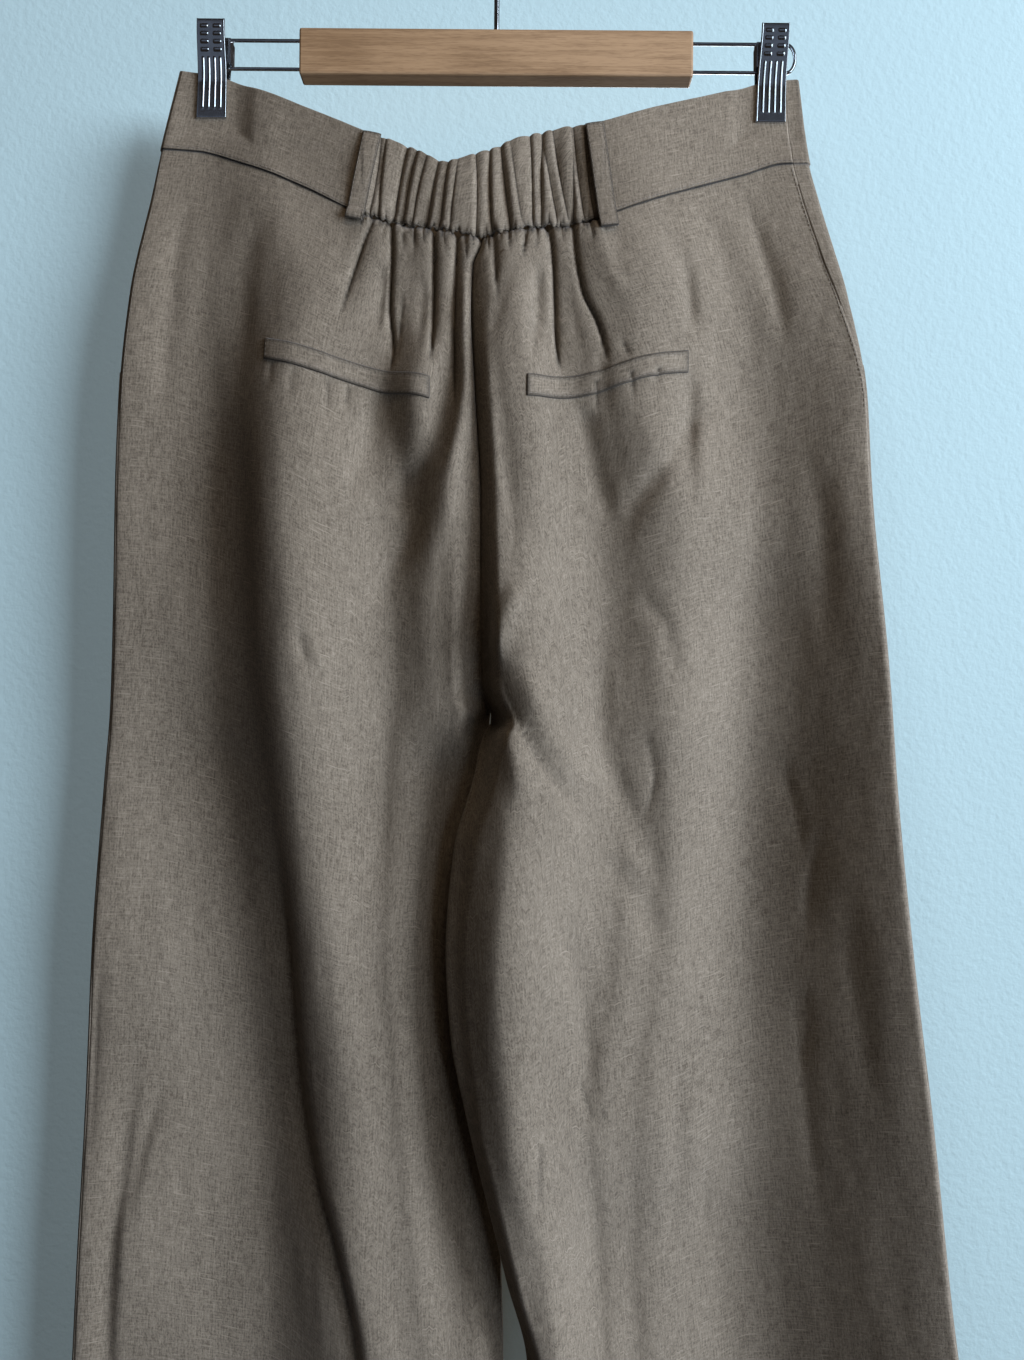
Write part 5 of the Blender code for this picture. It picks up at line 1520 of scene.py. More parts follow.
# ---------------- trousers
@dataclass
class Legs:
    """Back and front panels, slant pocket facings and back pocket welts."""

    notch_ditch: float = 1.3
    back_columns: int = 168
    back_rows: int = 285
    front_columns: int = 120
    front_rows: int = 190
    nodes: Tuple[str, str, str] = ("back_leg_", "front_leg_", "pocket_facing_")
    first_falls: Triple = (0, 0.0008, 0.0018)
    settle_rounds: int = 4
    hem_z: float = -1150.0
    facing_foot_z: float = -320.0
    facing_tuck: float = 14.0
    facing_gaps: Pair = (1.1, 1.4)
    facing_side_share: float = 0.4
    wrap_reach: float = 30.0
    turn_reach: float = 12.0
    welt_height: float = 12.6
    welt_wall: float = 1.0
    welt_lift: float = 0.5
    welt_rims: Pair = (0.008, 0.06)
    stitch_insets: Pair = (0.012, 0.1)
    back_flat: Pair = (0.31, 0.99)
    back_area: float = 0.262
    front_flat: Pair = (0.30, 0.99)
    front_area: float = 0.245
    facing_flat: Pair = (0.066, 0.16)
    facing_area: float = 0.0062
    welt_lines: Mapping[Side, Table] = field(
        default_factory=lambda: {
            Side.LEFT: table("x z", [(-135.8, -282), (-92, -293.4), (-38, -305.2)]),
            Side.RIGHT: table("x z", [(20, -305.7), (54.4, -301.7), (96, -290.4), (116.9, -285.6)]),
        }
    )

    def level_rows(self, count: int) -> Array:
        """Row levels from a panel's top to its hem, closer together under the waist: spaced as t squared."""
        later = np.linspace(0.055, 1, count - len(self.first_falls)) ** 2.0
        return FORM.panel_top_z + (self.hem_z - FORM.panel_top_z) * np.concatenate([self.first_falls, later])

    def settled(self, waist: Table, x: Array, level: Array) -> Array:
        """Height of a panel's point: its waist seam eases into level rows.

        Args:
            waist: The waist seam's table, back or front.
            x: The point's place across.
            level: Its row's level.

        Returns:
            The point's height.
        """
        drop = DRAPE.waist_seam(waist, x) - FORM.panel_top_z
        if waist is BACK_WAIST:
            drop = drop + DRAPE.wavering(x) - DRAPE.notched(x)
        fade = np.clip(1 - (FORM.panel_top_z - level) / FORM.waist_fade, 0, 1) ** 2
        return level + (drop - FORM.waist_gap) * fade

    def back_panel(self, side: Side, along: Array, level: Array) -> Array:
        """Back panel from the side seam to the centre seam or inseam.

        Args:
            side: Half of the garment.
            along: Share of the way across, from the side seam.
            level: Level of the row.

        Returns:
            The panel's points.
        """
        z = level
        for _ in range(self.settle_rounds):
            inset = FORM.inset(side, z)
            x = FORM.edge(side, z) - side * (inset + (FORM.width(side, z) - inset) * along)
            z = self.settled(BACK_WAIST, x, level)
        return FORM.points(side, Face.BACK, x, z, DRAPE.back_leg(side, x, z))

    def pocket_line(self, side: Side, z: Array) -> Array:
        """Distance of the front panel's outer edge from the side edge: the slant mouth, then the seam."""
        inset = FORM.inset(side, z)
        t = np.clip((z - FORM.pocket_foot_z) / (FORM.panel_top_z - FORM.pocket_foot_z), 0, 1)
        return -inset + (FORM.pocket_mouth + inset) * t**FORM.pocket_curve

    def wrapped(self, side: Side, distance: Array, z: Array) -> Array:
        """Points of a piece that reaches round the side edge.

        Args:
            side: Half of the garment.
            distance: Distance from the side edge, below 0 on the back.
            z: Heights.

        Returns:
            The points, on the back layer or the front one.
        """
        x = FORM.edge(side, z) - side * np.abs(distance)
        behind = FORM.points(side, Face.BACK, x, z, DRAPE.curled(side, x, z))
        relief = DRAPE.front_leg(side, x, z) * ease(distance / self.wrap_reach)
        return np.where((distance < 0)[..., None], behind, FORM.points(side, Face.FRONT, x, z, relief))

    def front_panel(self, side: Side, along: Array, level: Array) -> Array:
        """Front panel from the pocket mouth or side seam to the centre seam or inseam.

        Args:
            side: Half of the garment.
            along: Share of the way across, from the mouth or side seam.
            level: Level of the row.

        Returns:
            The panel's points.
        """
        z = level
        for _ in range(self.settle_rounds):
            start = self.pocket_line(side, z)
            knee = np.maximum(start, 0) + FORM.edge_knee
            distance = FORM.past_edge(start, FORM.width(side, z), knee, along)
            x = FORM.edge(side, z) - side * np.abs(distance)
            z = self.settled(FRONT_WAIST, x, level)
        return self.wrapped(side, distance, z)

    def facing(self, side: Side, along: Array, down: Array) -> Array:
        """Slant pocket's facing, from the side seam round the side edge to behind the front panel's mouth.

        Args:
            side: Half of the garment.
            along: Share of the way across, from the side seam.
            down: Share of the way down.

        Returns:
            The facing's points, tucked in behind the front panel.
        """
        z = FORM.panel_top_z + 0 * along
        for _ in range(self.settle_rounds):
            start, finish = -FORM.inset(side, z), self.pocket_line(side, z) + self.facing_tuck
            distance = FORM.past_edge(start, finish, FORM.edge_knee, along)
            x = BACK_WAIST["seam_x"][side.end] - side * np.abs(distance)
            top = np.where(distance < 0, DRAPE.waist_seam(BACK_WAIST, x), DRAPE.waist_seam(FRONT_WAIST, x))
            z = top + (self.facing_foot_z - top) * down
        points = self.wrapped(side, distance, z)
        tuck = self.facing_gaps[0] + self.facing_gaps[1] * ease(distance / self.wrap_reach)
        turned = ease(distance / self.turn_reach)
        points[..., 0] -= side * tuck * (1 - turned) * self.facing_side_share
        points[..., 1] -= tuck * turned
        return points

    def welt(self, side: Side) -> None:
        """Welt of a back pocket: a folded strip on the panel, thin at its rims, stitched all round.

        Args:
            side: Half of the garment.
        """
        rows = self.welt_lines[side]
        start, length = rows["x"][0], rows["x"][-1] - rows["x"][0]
        end_rim, rim = self.welt_rims
        along, down = np.meshgrid(spaced((end_rim, 2), (1 - end_rim, 84), (1, 2)),
                                  spaced((rim, 2), (1 - rim, 12), (1, 2)))
        x = start + length * along
        z = curve(x, rows["x"], rows["z"]) - self.welt_height * down
        inside = np.minimum(np.minimum(along, 1 - along) / end_rim, np.minimum(down, 1 - down) / rim)
        lift = self.welt_lift + (self.welt_wall / 2 + 0.1) * ease(inside + 0.2)
        node = "back_pocket_welt_" + side.word
        points, _ = on_cloth(Face.BACK, x, z, lift[..., None])
        # wear pales the welt's rim all round, a painted highlight along its raised edge as well as wear;
        # outline is painted shade in the gap round it
        ClothPiece(node, points, Face.BACK, (abs(length) * MM, self.welt_height * MM), hold=Hold.LAID,
                   rests_on=("back_leg_" + side.word + "_cloth",), wall=self.welt_wall, wear=4.6,
                   outline=2.7).build()
        corners = ((0, 0), (1, 0), (1, 1), (0, 1), (0, 0))
        frame = []
        for (run, fall), (next_run, next_fall) in zip(corners, corners[1:]):
            t = np.linspace(0, 1, 60)
            across = np.clip(run + (next_run - run) * t, self.stitch_insets[0], 1 - self.stitch_insets[0])
            below = np.clip(fall + (next_fall - fall) * t, self.stitch_insets[1], 1 - self.stitch_insets[1])
            x = start + length * across
            z = curve(x, rows["x"], rows["z"]) - self.welt_height * below
            frame.append(on_cloth(Face.BACK, x, z, self.welt_lift + self.welt_wall))
        Stitching().build(node + "_stitches", frame)

    def build(self) -> None:
        """Build every piece of the legs."""
        back_columns = spaced((0.03, 6), (0.55, 64), (0.97, 88), (1, self.back_columns - 158))
        front_columns = spaced((FORM.edge_share, 14), (0.95, self.front_columns - 30), (1, 16))
        facing_columns = spaced((FORM.edge_share, 12), (1, 30))
        back_levels, front_levels = self.level_rows(self.back_rows), self.level_rows(self.front_rows)
        for side in Side:
            back, front, facing = (name + side.word for name in self.nodes)
            points = surface_grid(partial(self.back_panel, side), back_columns, back_levels)
            top_x = points[0, :, 0]
            # painted shade below the waist seam, reaching further along the gathers and into each notch
            ditch = 1.0 + DRAPE.gathered(top_x) + self.notch_ditch * DRAPE.notched(top_x)
            ClothPiece(back, points, Face.BACK, self.back_flat, self.back_area,
                       rests_on=("waistband_back_cloth",), head_ditch=ditch).build()
            points = surface_grid(partial(self.front_panel, side), front_columns, front_levels)
            ClothPiece(front, points, Face.FRONT, self.front_flat, self.front_area,
                       rests_on=("waistband_front_" + side.word + "_cloth",)).build()
            points = surface_grid(partial(self.facing, side), facing_columns, np.linspace(0, 1, 60))
            ClothPiece(facing, points, Face.FRONT, self.facing_flat, self.facing_area,
                       rests_on=(front + "_cloth",)).build()
            self.welt(side)


@dataclass
class Waistband:
    """Gathered back, flat ends, two fronts, belt loops and their stitching."""

    rows: int = 34
    wall: float = 1.5
    edge_bow: float = 40.0
    scallop: float = 0.35
    notch_lift: float = 0.7
    centre_x: Mapping[str, float] = field(default_factory=lambda: {"top": -9, "seam": -8.4})
    loop_width: float = 10.7
    loop_wall: float = 1.5
    loop_bulge: float = 1.0
    loop_lift: float = 0.8
    loop_evenness: float = 0.65
    loop_clearance: Pair = (2.4, 2)
    elastic_flat: Pair = (0.235, 0.05)
    flat_end: Pair = (0.135, 0.05)
    front_flat: Pair = (0.215, 0.05)
    loops: Mapping[str, Tuple[Face, Pair, Pair]] = field(
        default_factory=lambda: {
            "belt_loop_back_left": (Face.BACK, (-74.2, -154.6), (-84.6, -207.6)),
            "belt_loop_back_right": (Face.BACK, (59.5, -150), (68.6, -214.6)),
            "belt_loop_front_left": (Face.FRONT, (-104, -140.5), (-111, -190)),
            "belt_loop_front_right": (Face.FRONT, (96, -138.5), (103, -193)),
        }
    )

    def band(self, lines: Sequence[Pair], along: Array, down: Array) -> Tuple[Array, Array]:
        """Place and height on the back waistband, straight down from its top edge to its seam.

        Args:
            lines: For each of its side lines, the place at the top edge and at the seam.
            along: Share of the way between the lines.
            down: Share of the way down.

        Returns:
            The places across and the heights.
        """
        (start_top, start_seam), (end_top, end_seam) = lines
        top_x = start_top + (end_top - start_top) * along
        seam_x = start_seam + (end_seam - start_seam) * along
        top_z = curve(top_x, BACK_WAIST["top_x"], BACK_WAIST["top_z"])
        seam_z = curve(seam_x, BACK_WAIST["seam_x"], BACK_WAIST["seam_z"])
        return top_x + (seam_x - top_x) * down, top_z + (seam_z - top_z) * down

    def bowed(self, side: Side, x: Array, z: Array) -> Array:
        """Place across of a band point: near the side edge it follows that edge's own curve.

        Args:
            side: Half of the garment.
            x: Places across on a straight band.
            z: Heights.

        Returns:
            The bowed band's places across.
        """
        top_x, top_z, seam_x, seam_z = (BACK_WAIST[name][side.end] for name in BACK_WAIST)
        straight = top_x + (seam_x - top_x) * (top_z - z) / (top_z - seam_z)
        return x + (FORM.edge(side, z) - straight) * (1 - ease(np.abs(x - straight) / self.edge_bow))

    def elastic_middle(self, along: Array, down: Array) -> Array:
        """Gathered middle of the back waistband, with a scalloped top edge between its pleats.

        Args:
            along: Share of the way across, from the left.
            down: Share of the way down.

        Returns:
            The band's points.
        """
        x, z = self.band(tuple(zip(ELASTIC_ENDS["top_x"], ELASTIC_ENDS["seam_x"])), along, down)
        relief = DRAPE.elastic(x, z)
        z = z + self.scallop * np.clip(relief, -3, 1.5) * (1 - ease(down * 3))
        z = z + (DRAPE.wavering(x) + self.notch_lift * DRAPE.notched(x)) * ease(down * 6 - 5)
        return FORM.either(Face.BACK, x, z, relief)

    def flat_back(self, side: Side, along: Array, down: Array) -> Array:
        """Flat end of the back waistband, from the side seam to the elastic.

        Args:
            side: Half of the garment.
            along: Share of the way across, from the side seam.
            down: Share of the way down.

        Returns:
            The band's points.
        """
        ends = {name: column[side.end] for name, column in BACK_WAIST.items()}
        edge = [ends[line + "_x"] - side * FORM.inset(side, ends[line + "_z"]) for line in ("top", "seam")]
        elastic = ELASTIC_ENDS["top_x"][side.end], ELASTIC_ENDS["seam_x"][side.end]
        x, z = self.band((edge, elastic), along, down)
        x = self.bowed(side, x, z)
        return FORM.points(side, Face.BACK, x, z, DRAPE.flat_band(x, z))

    def front_half(self, side: Side, along: Array, down: Array) -> Array:
        """Front waistband from its side seam on the back, round the side edge, to the centre front.

        Args:
            side: Half of the garment.
            along: Share of the way across, from the side seam.
            down: Share of the way down.

        Returns:
            The band's points.
        """
        ends = {name: column[side.end] for name, column in BACK_WAIST.items()}
        reach = []
        for line, centre in self.centre_x.items():
            start = ends[line + "_x"]
            inset = FORM.inset(side, ends[line + "_z"])
            distance = FORM.past_edge(-inset, abs(start - centre), FORM.edge_knee, along)
            x = start - side * np.abs(distance)
            on_back, on_front = (curve(x, waist[line + "_x"], waist[line + "_z"])
                                 for waist in (BACK_WAIST, FRONT_WAIST))
            reach.append((distance, np.where(distance < 0, on_back, on_front)))
        (top_run, top_z), (seam_run, seam_z) = reach
        z = top_z + (seam_z - top_z) * down
        run = top_run + (seam_run - top_run) * down
        edge = ends["top_x"] + (ends["seam_x"] - ends["top_x"]) * down
        x = self.bowed(side, edge - side * np.abs(run), z)
        layers = (FORM.points(side, face, x, z, DRAPE.flat_band(x, z)) for face in Face)
        return np.where((run < 0)[..., None], *layers)

    def loop(self, node: str) -> None:
        """A belt loop: a folded strip laid over the band, clear of the pleats below it, stitched all round.

        Args:
            node: Its CAD node.
        """
        face, top, foot = self.loops[node]
        along, down = np.meshgrid(spaced((0.06, 2), (0.94, 13), (1, 2)) - 0.5,
                                  spaced((0.012, 2), (0.988, 44), (1, 2)))
        run = np.subtract(foot, top)
        length = math.hypot(*run)
        x = top[0] + run[0] * down - run[1] / length * self.loop_width * along
        z = top[1] + run[1] * down + run[0] / length * self.loop_width * along
        aside, above = self.loop_clearance
        nearby = [DRAPE.depth(face, x + over, z + up) for over in np.linspace(-aside, aside, 5)
                  for up in (-above, 0, above)]
        highest = np.maximum.reduce(nearby)
        level = highest.max(axis=1, keepdims=True)
        highest = level * self.loop_evenness + highest * (1 - self.loop_evenness)
        hump = self.loop_bulge * np.sin(math.pi * down) - 0.5 * (2 * along) ** 4
        y = face * (highest + self.loop_lift + self.loop_wall / 2 + hump)
        points = np.stack([x, y, z], axis=-1)
        half = Side.LEFT if top[0] < 0 else Side.RIGHT
        band = "waistband_back_cloth" if face is Face.BACK else "waistband_front_" + half.word + "_cloth"
        # wear pales the loop's edges; outline is painted shade round its border
        ClothPiece(node, points, face, (self.loop_width * MM, length * MM), hold=Hold.LAID, rests_on=(band,),
                   wall=self.loop_wall, wear=3.4, outline=1.6).build()
        outer = np.zeros_like(points)
        outer[..., 1] = face
        lifted = points + outer * self.loop_wall / 2
        lines = (np.s_[1:-1, 2], np.s_[1:-1, -3], np.s_[2, 2:-2], np.s_[-3, 2:-2])
        Stitching().build(node + "_stitches", [(lifted[line], outer[line]) for line in lines])

    def build(self) -> None:
        """Build every piece of the waistband."""
        downs = spaced((0.018, 2), (0.982, self.rows), (1, 3))
        columns = spaced((FORM.edge_share, 30), (1, 110))
        points = surface_grid(self.elastic_middle, np.linspace(0, 1, 330), downs)
        # painted shade above the waist seam, deeper at each notch
        ClothPiece("waistband_back", points, Face.BACK, self.elastic_flat, hold=Hold.GATHERED,
                   rests_on=("waistband_back_left_cloth", "waistband_back_right_cloth"), wall=self.wall,
                   foot_ditch=1.3 + 0.8 * DRAPE.notched(points[-1, :, 0])).build()
        for side in Side:
            points = surface_grid(partial(self.flat_back, side), np.linspace(0, 1, 90), downs)
            # painted shade above the waist seam
            ClothPiece("waistband_back_" + side.word, points, Face.BACK, self.flat_end,
                       rests_on=("clip_plate_back_" + side.word,), wall=self.wall, foot_ditch=0.8).build()
            points = surface_grid(partial(self.front_half, side), columns, downs)
            ClothPiece("waistband_front_" + side.word, points, Face.FRONT, self.front_flat,
                       rests_on=("clip_plate_front_" + side.word,), wall=self.wall).build()
        for node in self.loops:
            self.loop(node)


@dataclass
class Seams:
    """Rows of stitching above the waist seam and down the side seams."""

    waist_x: Pair = (-203, 190)
    waist_rise: float = 1.6
    waist_lift: float = 0.85
    side_z: Pair = (-168, -320)
    side_inset: float = 1.4
    side_lift: float = 0.5

    def build(self) -> None:
        """Lay every row of stitches."""
        x = np.linspace(*self.waist_x, 700)
        for face, waist in ((Face.BACK, BACK_WAIST), (Face.FRONT, FRONT_WAIST)):
            z = DRAPE.waist_seam(waist, x) + self.waist_rise
            Stitching().build("waist_stitches_" + face.word, [on_cloth(face, x, z, self.waist_lift)])
        z = np.linspace(*self.side_z, 200)
        for side in Side:
            x = FORM.edge(side, z) - side * (FORM.inset(side, z) + self.side_inset)
            Stitching().build("side_stitches_" + side.word, [on_cloth(Face.BACK, x, z, self.side_lift)])


# ---------------- hanger
@dataclass
class Hanger:
    """Wooden bar, hook, sliding rails and two sprung clips."""

    bar_length: float = 242.0
    bar_top_z: float = -85.0
    hook_wire: float = 3.2
    hook_inner_radius: float = 19.0
    hook_stem: float = 24.0
    hook_turn: Pair = (-48, 212)
    hook_swing: float = 36.0
    rail_wire: float = 2.1
    rail_upper_z: float = -89.4
    rail_lower_z: float = -107.0
    rail_ends: Mapping[Side, float] = field(default_factory=lambda: {Side.LEFT: -182.2, Side.RIGHT: 185.0})
    rail_bend: float = 5.6
    clip_width: float = 17.6
    clip_plate: float = 1.4
    clip_top_z: float = -82.5
    clip_foot_z: float = -139.5
    clip_x: Mapping[Side, float] = field(default_factory=lambda: {Side.LEFT: -174.2, Side.RIGHT: 170.6})
    clip_lean: float = -0.022
    clip_grip: float = 2.6
    clip_open: float = 9.0
    clip_taper: float = 0.09
    jaw_closes: float = 0.62
    plate_round: float = 0.5
    border_rise: float = 0.2
    rib_count: int = 4
    rib_rise: float = 0.65
    rib_half: float = 0.7
    rib_margin: float = 1.8
    rib_span: Pair = (20.6, 51.8)
    bump_rows: int = 4
    bump_rise: float = 0.7
    bump_first: float = 4.6
    bump_pitch: float = 4.2
    bump_aside: float = 4.0
    bump_half: float = 1.5
    bump_radius: float = 1.0

    def wire(self, name: str, path: Array, radius: float, node: str, sides: int = 16) -> None:
        """Round wire along a path: circles square to it, closed by domed ends.

        Args:
            name: The piece's name.
            path: Points of the wire's middle line, in the plane of the hanger.
            radius: The wire's radius.
            node: The CAD node that it stands for.
            sides: Points round each circle.
        """
        tangent = np.gradient(path, axis=0)
        tangent /= np.linalg.norm(tangent, axis=1, keepdims=True)
        side_way = np.array([0.0, 1, 0.0])
        across = np.cross(tangent, side_way)
        across /= np.linalg.norm(across, axis=1, keepdims=True)
        turns = np.linspace(0, 2 * math.pi, sides, endpoint=False)
        dome = np.array([0.0, 0.5, 0.85])
        first = path[0] - tangent[0] * radius * (1 - dome[:, None]) * 0.25
        last = path[-1] + tangent[-1] * radius * (1 - dome[::-1, None]) * 0.25
        line = np.concatenate([first, path, last])
        cap = quarter(dome + 0.02)
        size = np.concatenate([cap, np.ones(len(path)), cap[::-1]]) * radius
        ways = np.concatenate([np.repeat(across[:1], 3, 0), across, np.repeat(across[-1:], 3, 0)])
        rings = line[:, None] + size[:, None, None] * (
            np.cos(turns)[None, :, None] * ways[:, None] + np.sin(turns)[None, :, None] * side_way
        )
        rings = np.concatenate([rings, rings[:, :1]], axis=1)
        put(name, rings.reshape(-1, 3), grid_faces(len(line), sides + 1), CHROME, (node,))

    def hook(self) -> None:
        """Wire hook: a stem out of the bar, a swing to one side and most of a turn."""
        radius = self.hook_inner_radius + self.hook_wire / 2
        foot = self.bar_top_z + 0.3
        stem = [np.array([0, 0, foot + rise]) for rise in np.linspace(0, self.hook_stem, 5)]
        turns = np.radians(np.linspace(*self.hook_turn, 60))
        middle = -self.hook_inner_radius
        bow = [np.array([radius * math.cos(turn), 0, middle + radius * math.sin(turn)]) for turn in turns]
        leave = np.array([0, 0, self.hook_swing])
        arrive = self.hook_swing * np.array([-math.sin(turns[0]), 0, math.cos(turns[0])])
        neck = []
        for t in np.linspace(0, 1, 20)[1:-1]:
            bend = t * (1 - t) ** 2 * leave + t * t * (t - 1) * arrive
            neck.append(stem[-1] * (1 - ease(t)) + bow[0] * ease(t) + bend)
        self.wire("hook_wire", np.array(stem + neck + bow), self.hook_wire / 2, "hanger_hook")

    def rail(self, side: Side) -> None:
        """Wire loop that slides in the bar and carries a clip: two straight wires joined by a half ellipse.

        Args:
            side: Which end of the bar.
        """
        start = side * (self.bar_length / 2 + 0.3)
        rise = (self.rail_upper_z - self.rail_lower_z) / 2
        middle = (self.rail_upper_z + self.rail_lower_z) / 2
        knee = abs(self.rail_ends[side]) - self.rail_bend
        path = [(start + (side * knee - start) * t, 0, self.rail_upper_z) for t in np.linspace(0, 1, 6)[:-1]]
        path += [(side * (knee + self.rail_bend * math.cos(turn)), 0, middle + rise * math.sin(turn))
                 for turn in np.radians(np.linspace(90, -90, 33))]
        path += [(start + (side * knee - start) * t, 0, self.rail_lower_z) for t in np.linspace(1, 0, 6)[1:]]
        node = "hanger_rail_" + side.word
        self.wire("rail_wire_" + side.word, np.array(path, float), self.rail_wire / 2, node)

    def jaw_gap(self, z: Array) -> Array:
        """Distance of a clip plate's inner side from the hanger's middle plane."""
        down = (self.clip_top_z - z) / (self.clip_top_z - self.clip_foot_z)
        return self.clip_grip + (self.clip_open - self.clip_grip) * (1 - ease(down / self.jaw_closes))

    def plate_relief(self, along: Array, down: Array) -> Array:
        """Pressed pattern of a clip plate: a raised border, two columns of finger bumps, then upright ribs.

        Args:
            along: Share of the way across the plate.
            down: Share of the way down.

        Returns:
            How far the pattern stands out.
        """
        across = along * self.clip_width
        fall = down * (self.clip_top_z - self.clip_foot_z)
        border = 1 - ease((np.minimum(across, self.clip_width - across) - self.plate_round) / 0.4)
        top, foot = self.rib_span
        length = ease((fall - top) / 1.6) * ease((foot - fall) / 1.6)
        pitch = (self.clip_width - 2 * self.rib_margin) / self.rib_count
        ribs, bumps = 0 * along, 0 * along
        for rib in range(self.rib_count):
            distance = (across - self.rib_margin - pitch * (rib + 0.5)) / self.rib_half
            ribs = ribs + self.rib_rise * np.sqrt(np.clip(1 - distance**2, 0, 1)) * length
        for row in range(self.bump_rows):
            for column in Side:
                over = np.abs(across - self.clip_width / 2 - column * self.bump_aside) - self.bump_half
                tall = fall - self.bump_first - row * self.bump_pitch
                distance = np.hypot(np.clip(over, 0, None), tall) / self.bump_radius
                bumps = bumps + self.bump_rise * np.sqrt(np.clip(1 - distance**2, 0, 1))
        return self.border_rise * border + ribs + bumps

    def plate(self, side: Side, face: Face) -> None:
        """A clip's plate as a closed shell between its pressed outer side and its plain inner side.

        Args:
            side: Which clip.
            face: Which of its two plates.
        """
        alongs, downs = np.linspace(0, 1, 71), np.linspace(0, 1, 181)
        along, down = np.meshgrid(alongs, downs)
        z = self.clip_top_z + (self.clip_foot_z - self.clip_top_z) * down
        width = self.clip_width * (1 + self.clip_taper * (down - 0.5))
        x = self.clip_x[side] + (along - 0.5) * width + self.clip_lean * (self.clip_top_z - z)
        edge = np.minimum.reduce([along * self.clip_width, (1 - along) * self.clip_width,
                                  self.clip_top_z - z, z - self.clip_foot_z])
        rounding = self.plate_round * (1 - quarter(edge / self.plate_round))
        outer_y = face * (self.jaw_gap(z) + self.clip_plate + self.plate_relief(along, down) - rounding)
        outer = np.stack([x, outer_y, z], axis=-1)
        inner = np.stack([x, face * (self.jaw_gap(z) + 0.2), z], axis=-1)
        skin = grid_faces(len(downs), len(alongs))
        count = along.size
        index = np.arange(count).reshape(along.shape)
        border = np.concatenate([index[0], index[1:, -1], index[-1, -2::-1], index[-2:0:-1, 0]])
        ahead = np.roll(border, -1)
        rim = np.stack([ahead, border, border + count, ahead + count], axis=1)
        faces = np.concatenate([skin, skin[:, ::-1] + count, rim])
        if face is Face.FRONT:
            faces = faces[:, ::-1]
        name = face.word + "_" + side.word
        points = np.concatenate([outer.reshape(-1, 3), inner.reshape(-1, 3)])
        put("clip_" + name, points, faces[:, ::-1], CHROME, ("clip_plate_" + name,))

    def build(self) -> None:
        """Build the hanger and dress the solids that stay."""
        self.hook()
        for side in Side:
            self.rail(side)
            for face in Face:
                self.plate(side, face)
            self.dress("clip_saddle_" + side.word, CHROME)
        self.dress("hanger_bar", WOOD)

    def dress(self, node: str, finish: Finish) -> None:
        """Give a solid that stays its finish."""
        for slot in bpy.data.objects[node].material_slots:
            slot.material = finish.material()


# ---------------- studio
@dataclass(frozen=True)
class Lamp:
    """A rectangular soft light that points at a place."""

    name: str
    place: Triple
    aim: Triple
    size: Pair
    power: float
    colour: Triple

    def build(self) -> bpy.types.Object:
        """Hang the lamp.

        Returns:
            The lamp.
        """
        data = bpy.data.lights.new(self.name, "AREA")
        data.shape = "RECTANGLE"
        data.size, data.size_y = self.size
        data.energy = self.power
        data.color = self.colour
        lamp = place_in_scene(self.name, data)
        lamp.location = self.place
        lamp.rotation_euler = (Vector(self.aim) - Vector(self.place)).to_track_quat("-Z", "Y").to_euler()
        return lamp


CLOTH_LAMPS = (
    Lamp("window", (2.1, -1.1, -0.2), (0, 0, -0.6), (1, 1.7), 100, (0.86, 1, 1.22)),
    Lamp("window_low", (1.3, -1.6, -1.25), (0, 0, -1), (0.9, 0.8), 19, (0.84, 1, 1.24)),
    Lamp("room", (-1.2, -2.4, 0.4), (0, 0, -0.6), (2, 2), 0.3, (1, 0.86, 0.76)),
    Lamp("ceiling", (0.3, -0.8, 0.8), (-0.1, 0, -0.15), (0.6, 0.6), 5.2, (1, 0.84, 0.66)),
)
LAMPS_BEHIND = (Lamp("behind", (0.8, 2.4, 0.2), (0, 0, -0.6), (1.6, 1.6), 48, (0.95, 0.97, 1)),)
WALL_LAMPS = (
    Lamp("wall_wash", (2, -1.55, 0.2), (-0.1, 0, -0.45), (1.3, 1.1), 74, (0.80, 1, 1.13)),
    Lamp("wall_fill", (-0.6, -2.4, 0.9), (0, 0, -0.2), (2.2, 2), 24, (0.9, 1, 1.05)),
)
METAL_LAMPS = (
    Lamp("gleam", (1.5, -0.8, 0.2), (0, 0, -0.1), (0.9, 1.6), 17, (0.85, 1, 1.1)),
    Lamp("gleam_front", (0, -2.4, 0), (0, 0, -0.1), (2.4, 2.4), 1.7, (0.72, 0.9, 1.2)),
)


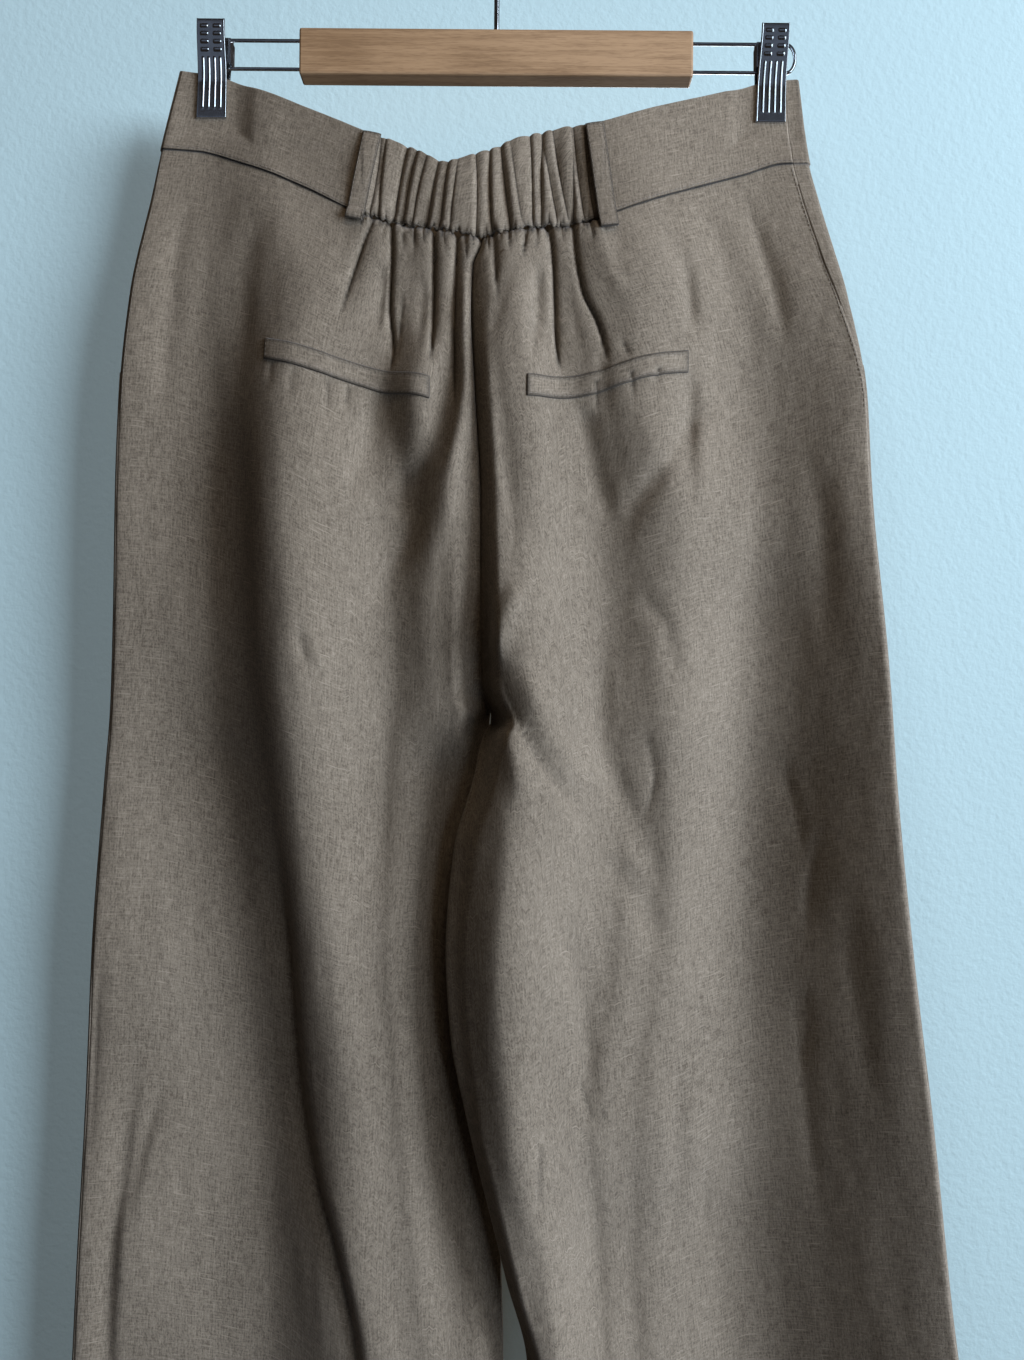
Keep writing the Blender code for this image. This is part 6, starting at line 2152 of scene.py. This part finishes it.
@dataclass(frozen=True)
class Studio:
    """Camera, window light, weak fills, a wall and a floor, in metres."""

    distance: float = 0.6
    metres_per_pixel: float = 0.00062
    frame_height: float = 1360.0
    sensor: float = 36.0
    aim: Pair = (0.0127, -0.4845)
    roll: float = -0.45
    reach: float = 4.0
    wall_top_z: float = 2.0
    floor_z: float = -1.42
    wall_y: float = 0.044
    dusk: Triple = (1, 0.82, 0.72)
    dusk_strength: float = 0.022

    def camera(self) -> None:
        """Camera square to the garment's back, rolled a little."""
        data = bpy.data.cameras.new("camera")
        data.sensor_width = self.sensor
        data.lens = self.sensor * self.distance / self.metres_per_pixel / self.frame_height
        data.clip_start, data.clip_end = 0.01, 50.0
        camera = place_in_scene("camera", data)
        camera.location = (self.aim[0], -self.distance, self.aim[1])
        camera.rotation_euler = (math.radians(90), math.radians(self.roll), 0)
        bpy.context.scene.camera = camera

    def surface(self, name: str, near: Pair, far: Pair, finish: Finish) -> bpy.types.Object:
        """A flat stage surface, as wide as the studio, that only the camera sees.

        Args:
            name: Its name.
            near: Place along y and height of its first edge.
            far: The same of its other edge.
            finish: Its paint.

        Returns:
            The surface.
        """
        mesh = bpy.data.meshes.new(name)
        corners = [(-self.reach, *near), (self.reach, *near), (self.reach, *far), (-self.reach, *far)]
        mesh.from_pydata(corners, [], [(0, 1, 2, 3)])
        mesh.materials.append(finish.material())
        item = place_in_scene(name, mesh)
        item.visible_glossy = False
        item.visible_diffuse = False
        return item

    def linked(self, name: str, items: Sequence[bpy.types.Object], state: str) -> bpy.types.Collection:
        """A light-linking collection that includes or excludes the items.

        Args:
            name: The collection's name.
            items: Its members.
            state: INCLUDE or EXCLUDE.

        Returns:
            The collection.
        """
        made = bpy.data.collections.new(name)
        for item in items:
            made.objects.link(item)
        for member in made.collection_objects:
            member.light_linking.link_state = state
        return made

    def build(self) -> None:
        """Set up the stage and the lamps; each group of lamps lights the pieces it is meant for."""
        floor_y = (-self.reach, self.floor_z), (self.reach, self.floor_z)
        self.surface("floor", *floor_y, FLOOR_PAINT)
        wall = self.surface("wall", (self.wall_y, self.floor_z), (self.wall_y, self.wall_top_z), WALL_PAINT)
        wall.visible_shadow = False
        world = bpy.data.worlds.new("studio")
        world.use_nodes = True
        background = world.node_tree.nodes["Background"]
        background.inputs["Color"].default_value = (*self.dusk, 1)
        background.inputs["Strength"].default_value = self.dusk_strength
        bpy.context.scene.world = world
        metal = [item for item in bpy.data.objects if item.name.startswith(("clip_", "hook_", "rail_"))]
        wood = [item for item in bpy.data.objects if item.name.startswith("hanger_bar")]
        wash_passes = self.linked("shade_of_wash", wood + metal, "EXCLUDE")
        for name, lamps, receivers, state in (
            ("lit_by_window", CLOTH_LAMPS, (wall, *metal), "EXCLUDE"),
            ("lit_from_behind", LAMPS_BEHIND, (wall,), "EXCLUDE"),
            ("lit_by_wash", WALL_LAMPS, (wall,), "INCLUDE"),
            ("lit_by_gleam", METAL_LAMPS, metal, "INCLUDE"),
        ):
            lit = self.linked(name, receivers, state)
            for lamp in lamps:
                linking = lamp.build().light_linking
                linking.receiver_collection = lit
                if lamps is WALL_LAMPS:
                    linking.blocker_collection = wash_passes
        bpy.context.scene.view_settings.view_transform = "Standard"


def main() -> None:
    """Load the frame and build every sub-assembly."""
    logging.basicConfig(level=logging.INFO, format="%(message)s")
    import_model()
    Studio().camera()
    for part in (Legs(), Waistband(), Seams(), Hanger()):
        part.build()
        LOG.info("%s built", type(part).__name__)
    Studio().build()


if __name__ == "__main__":
    main()
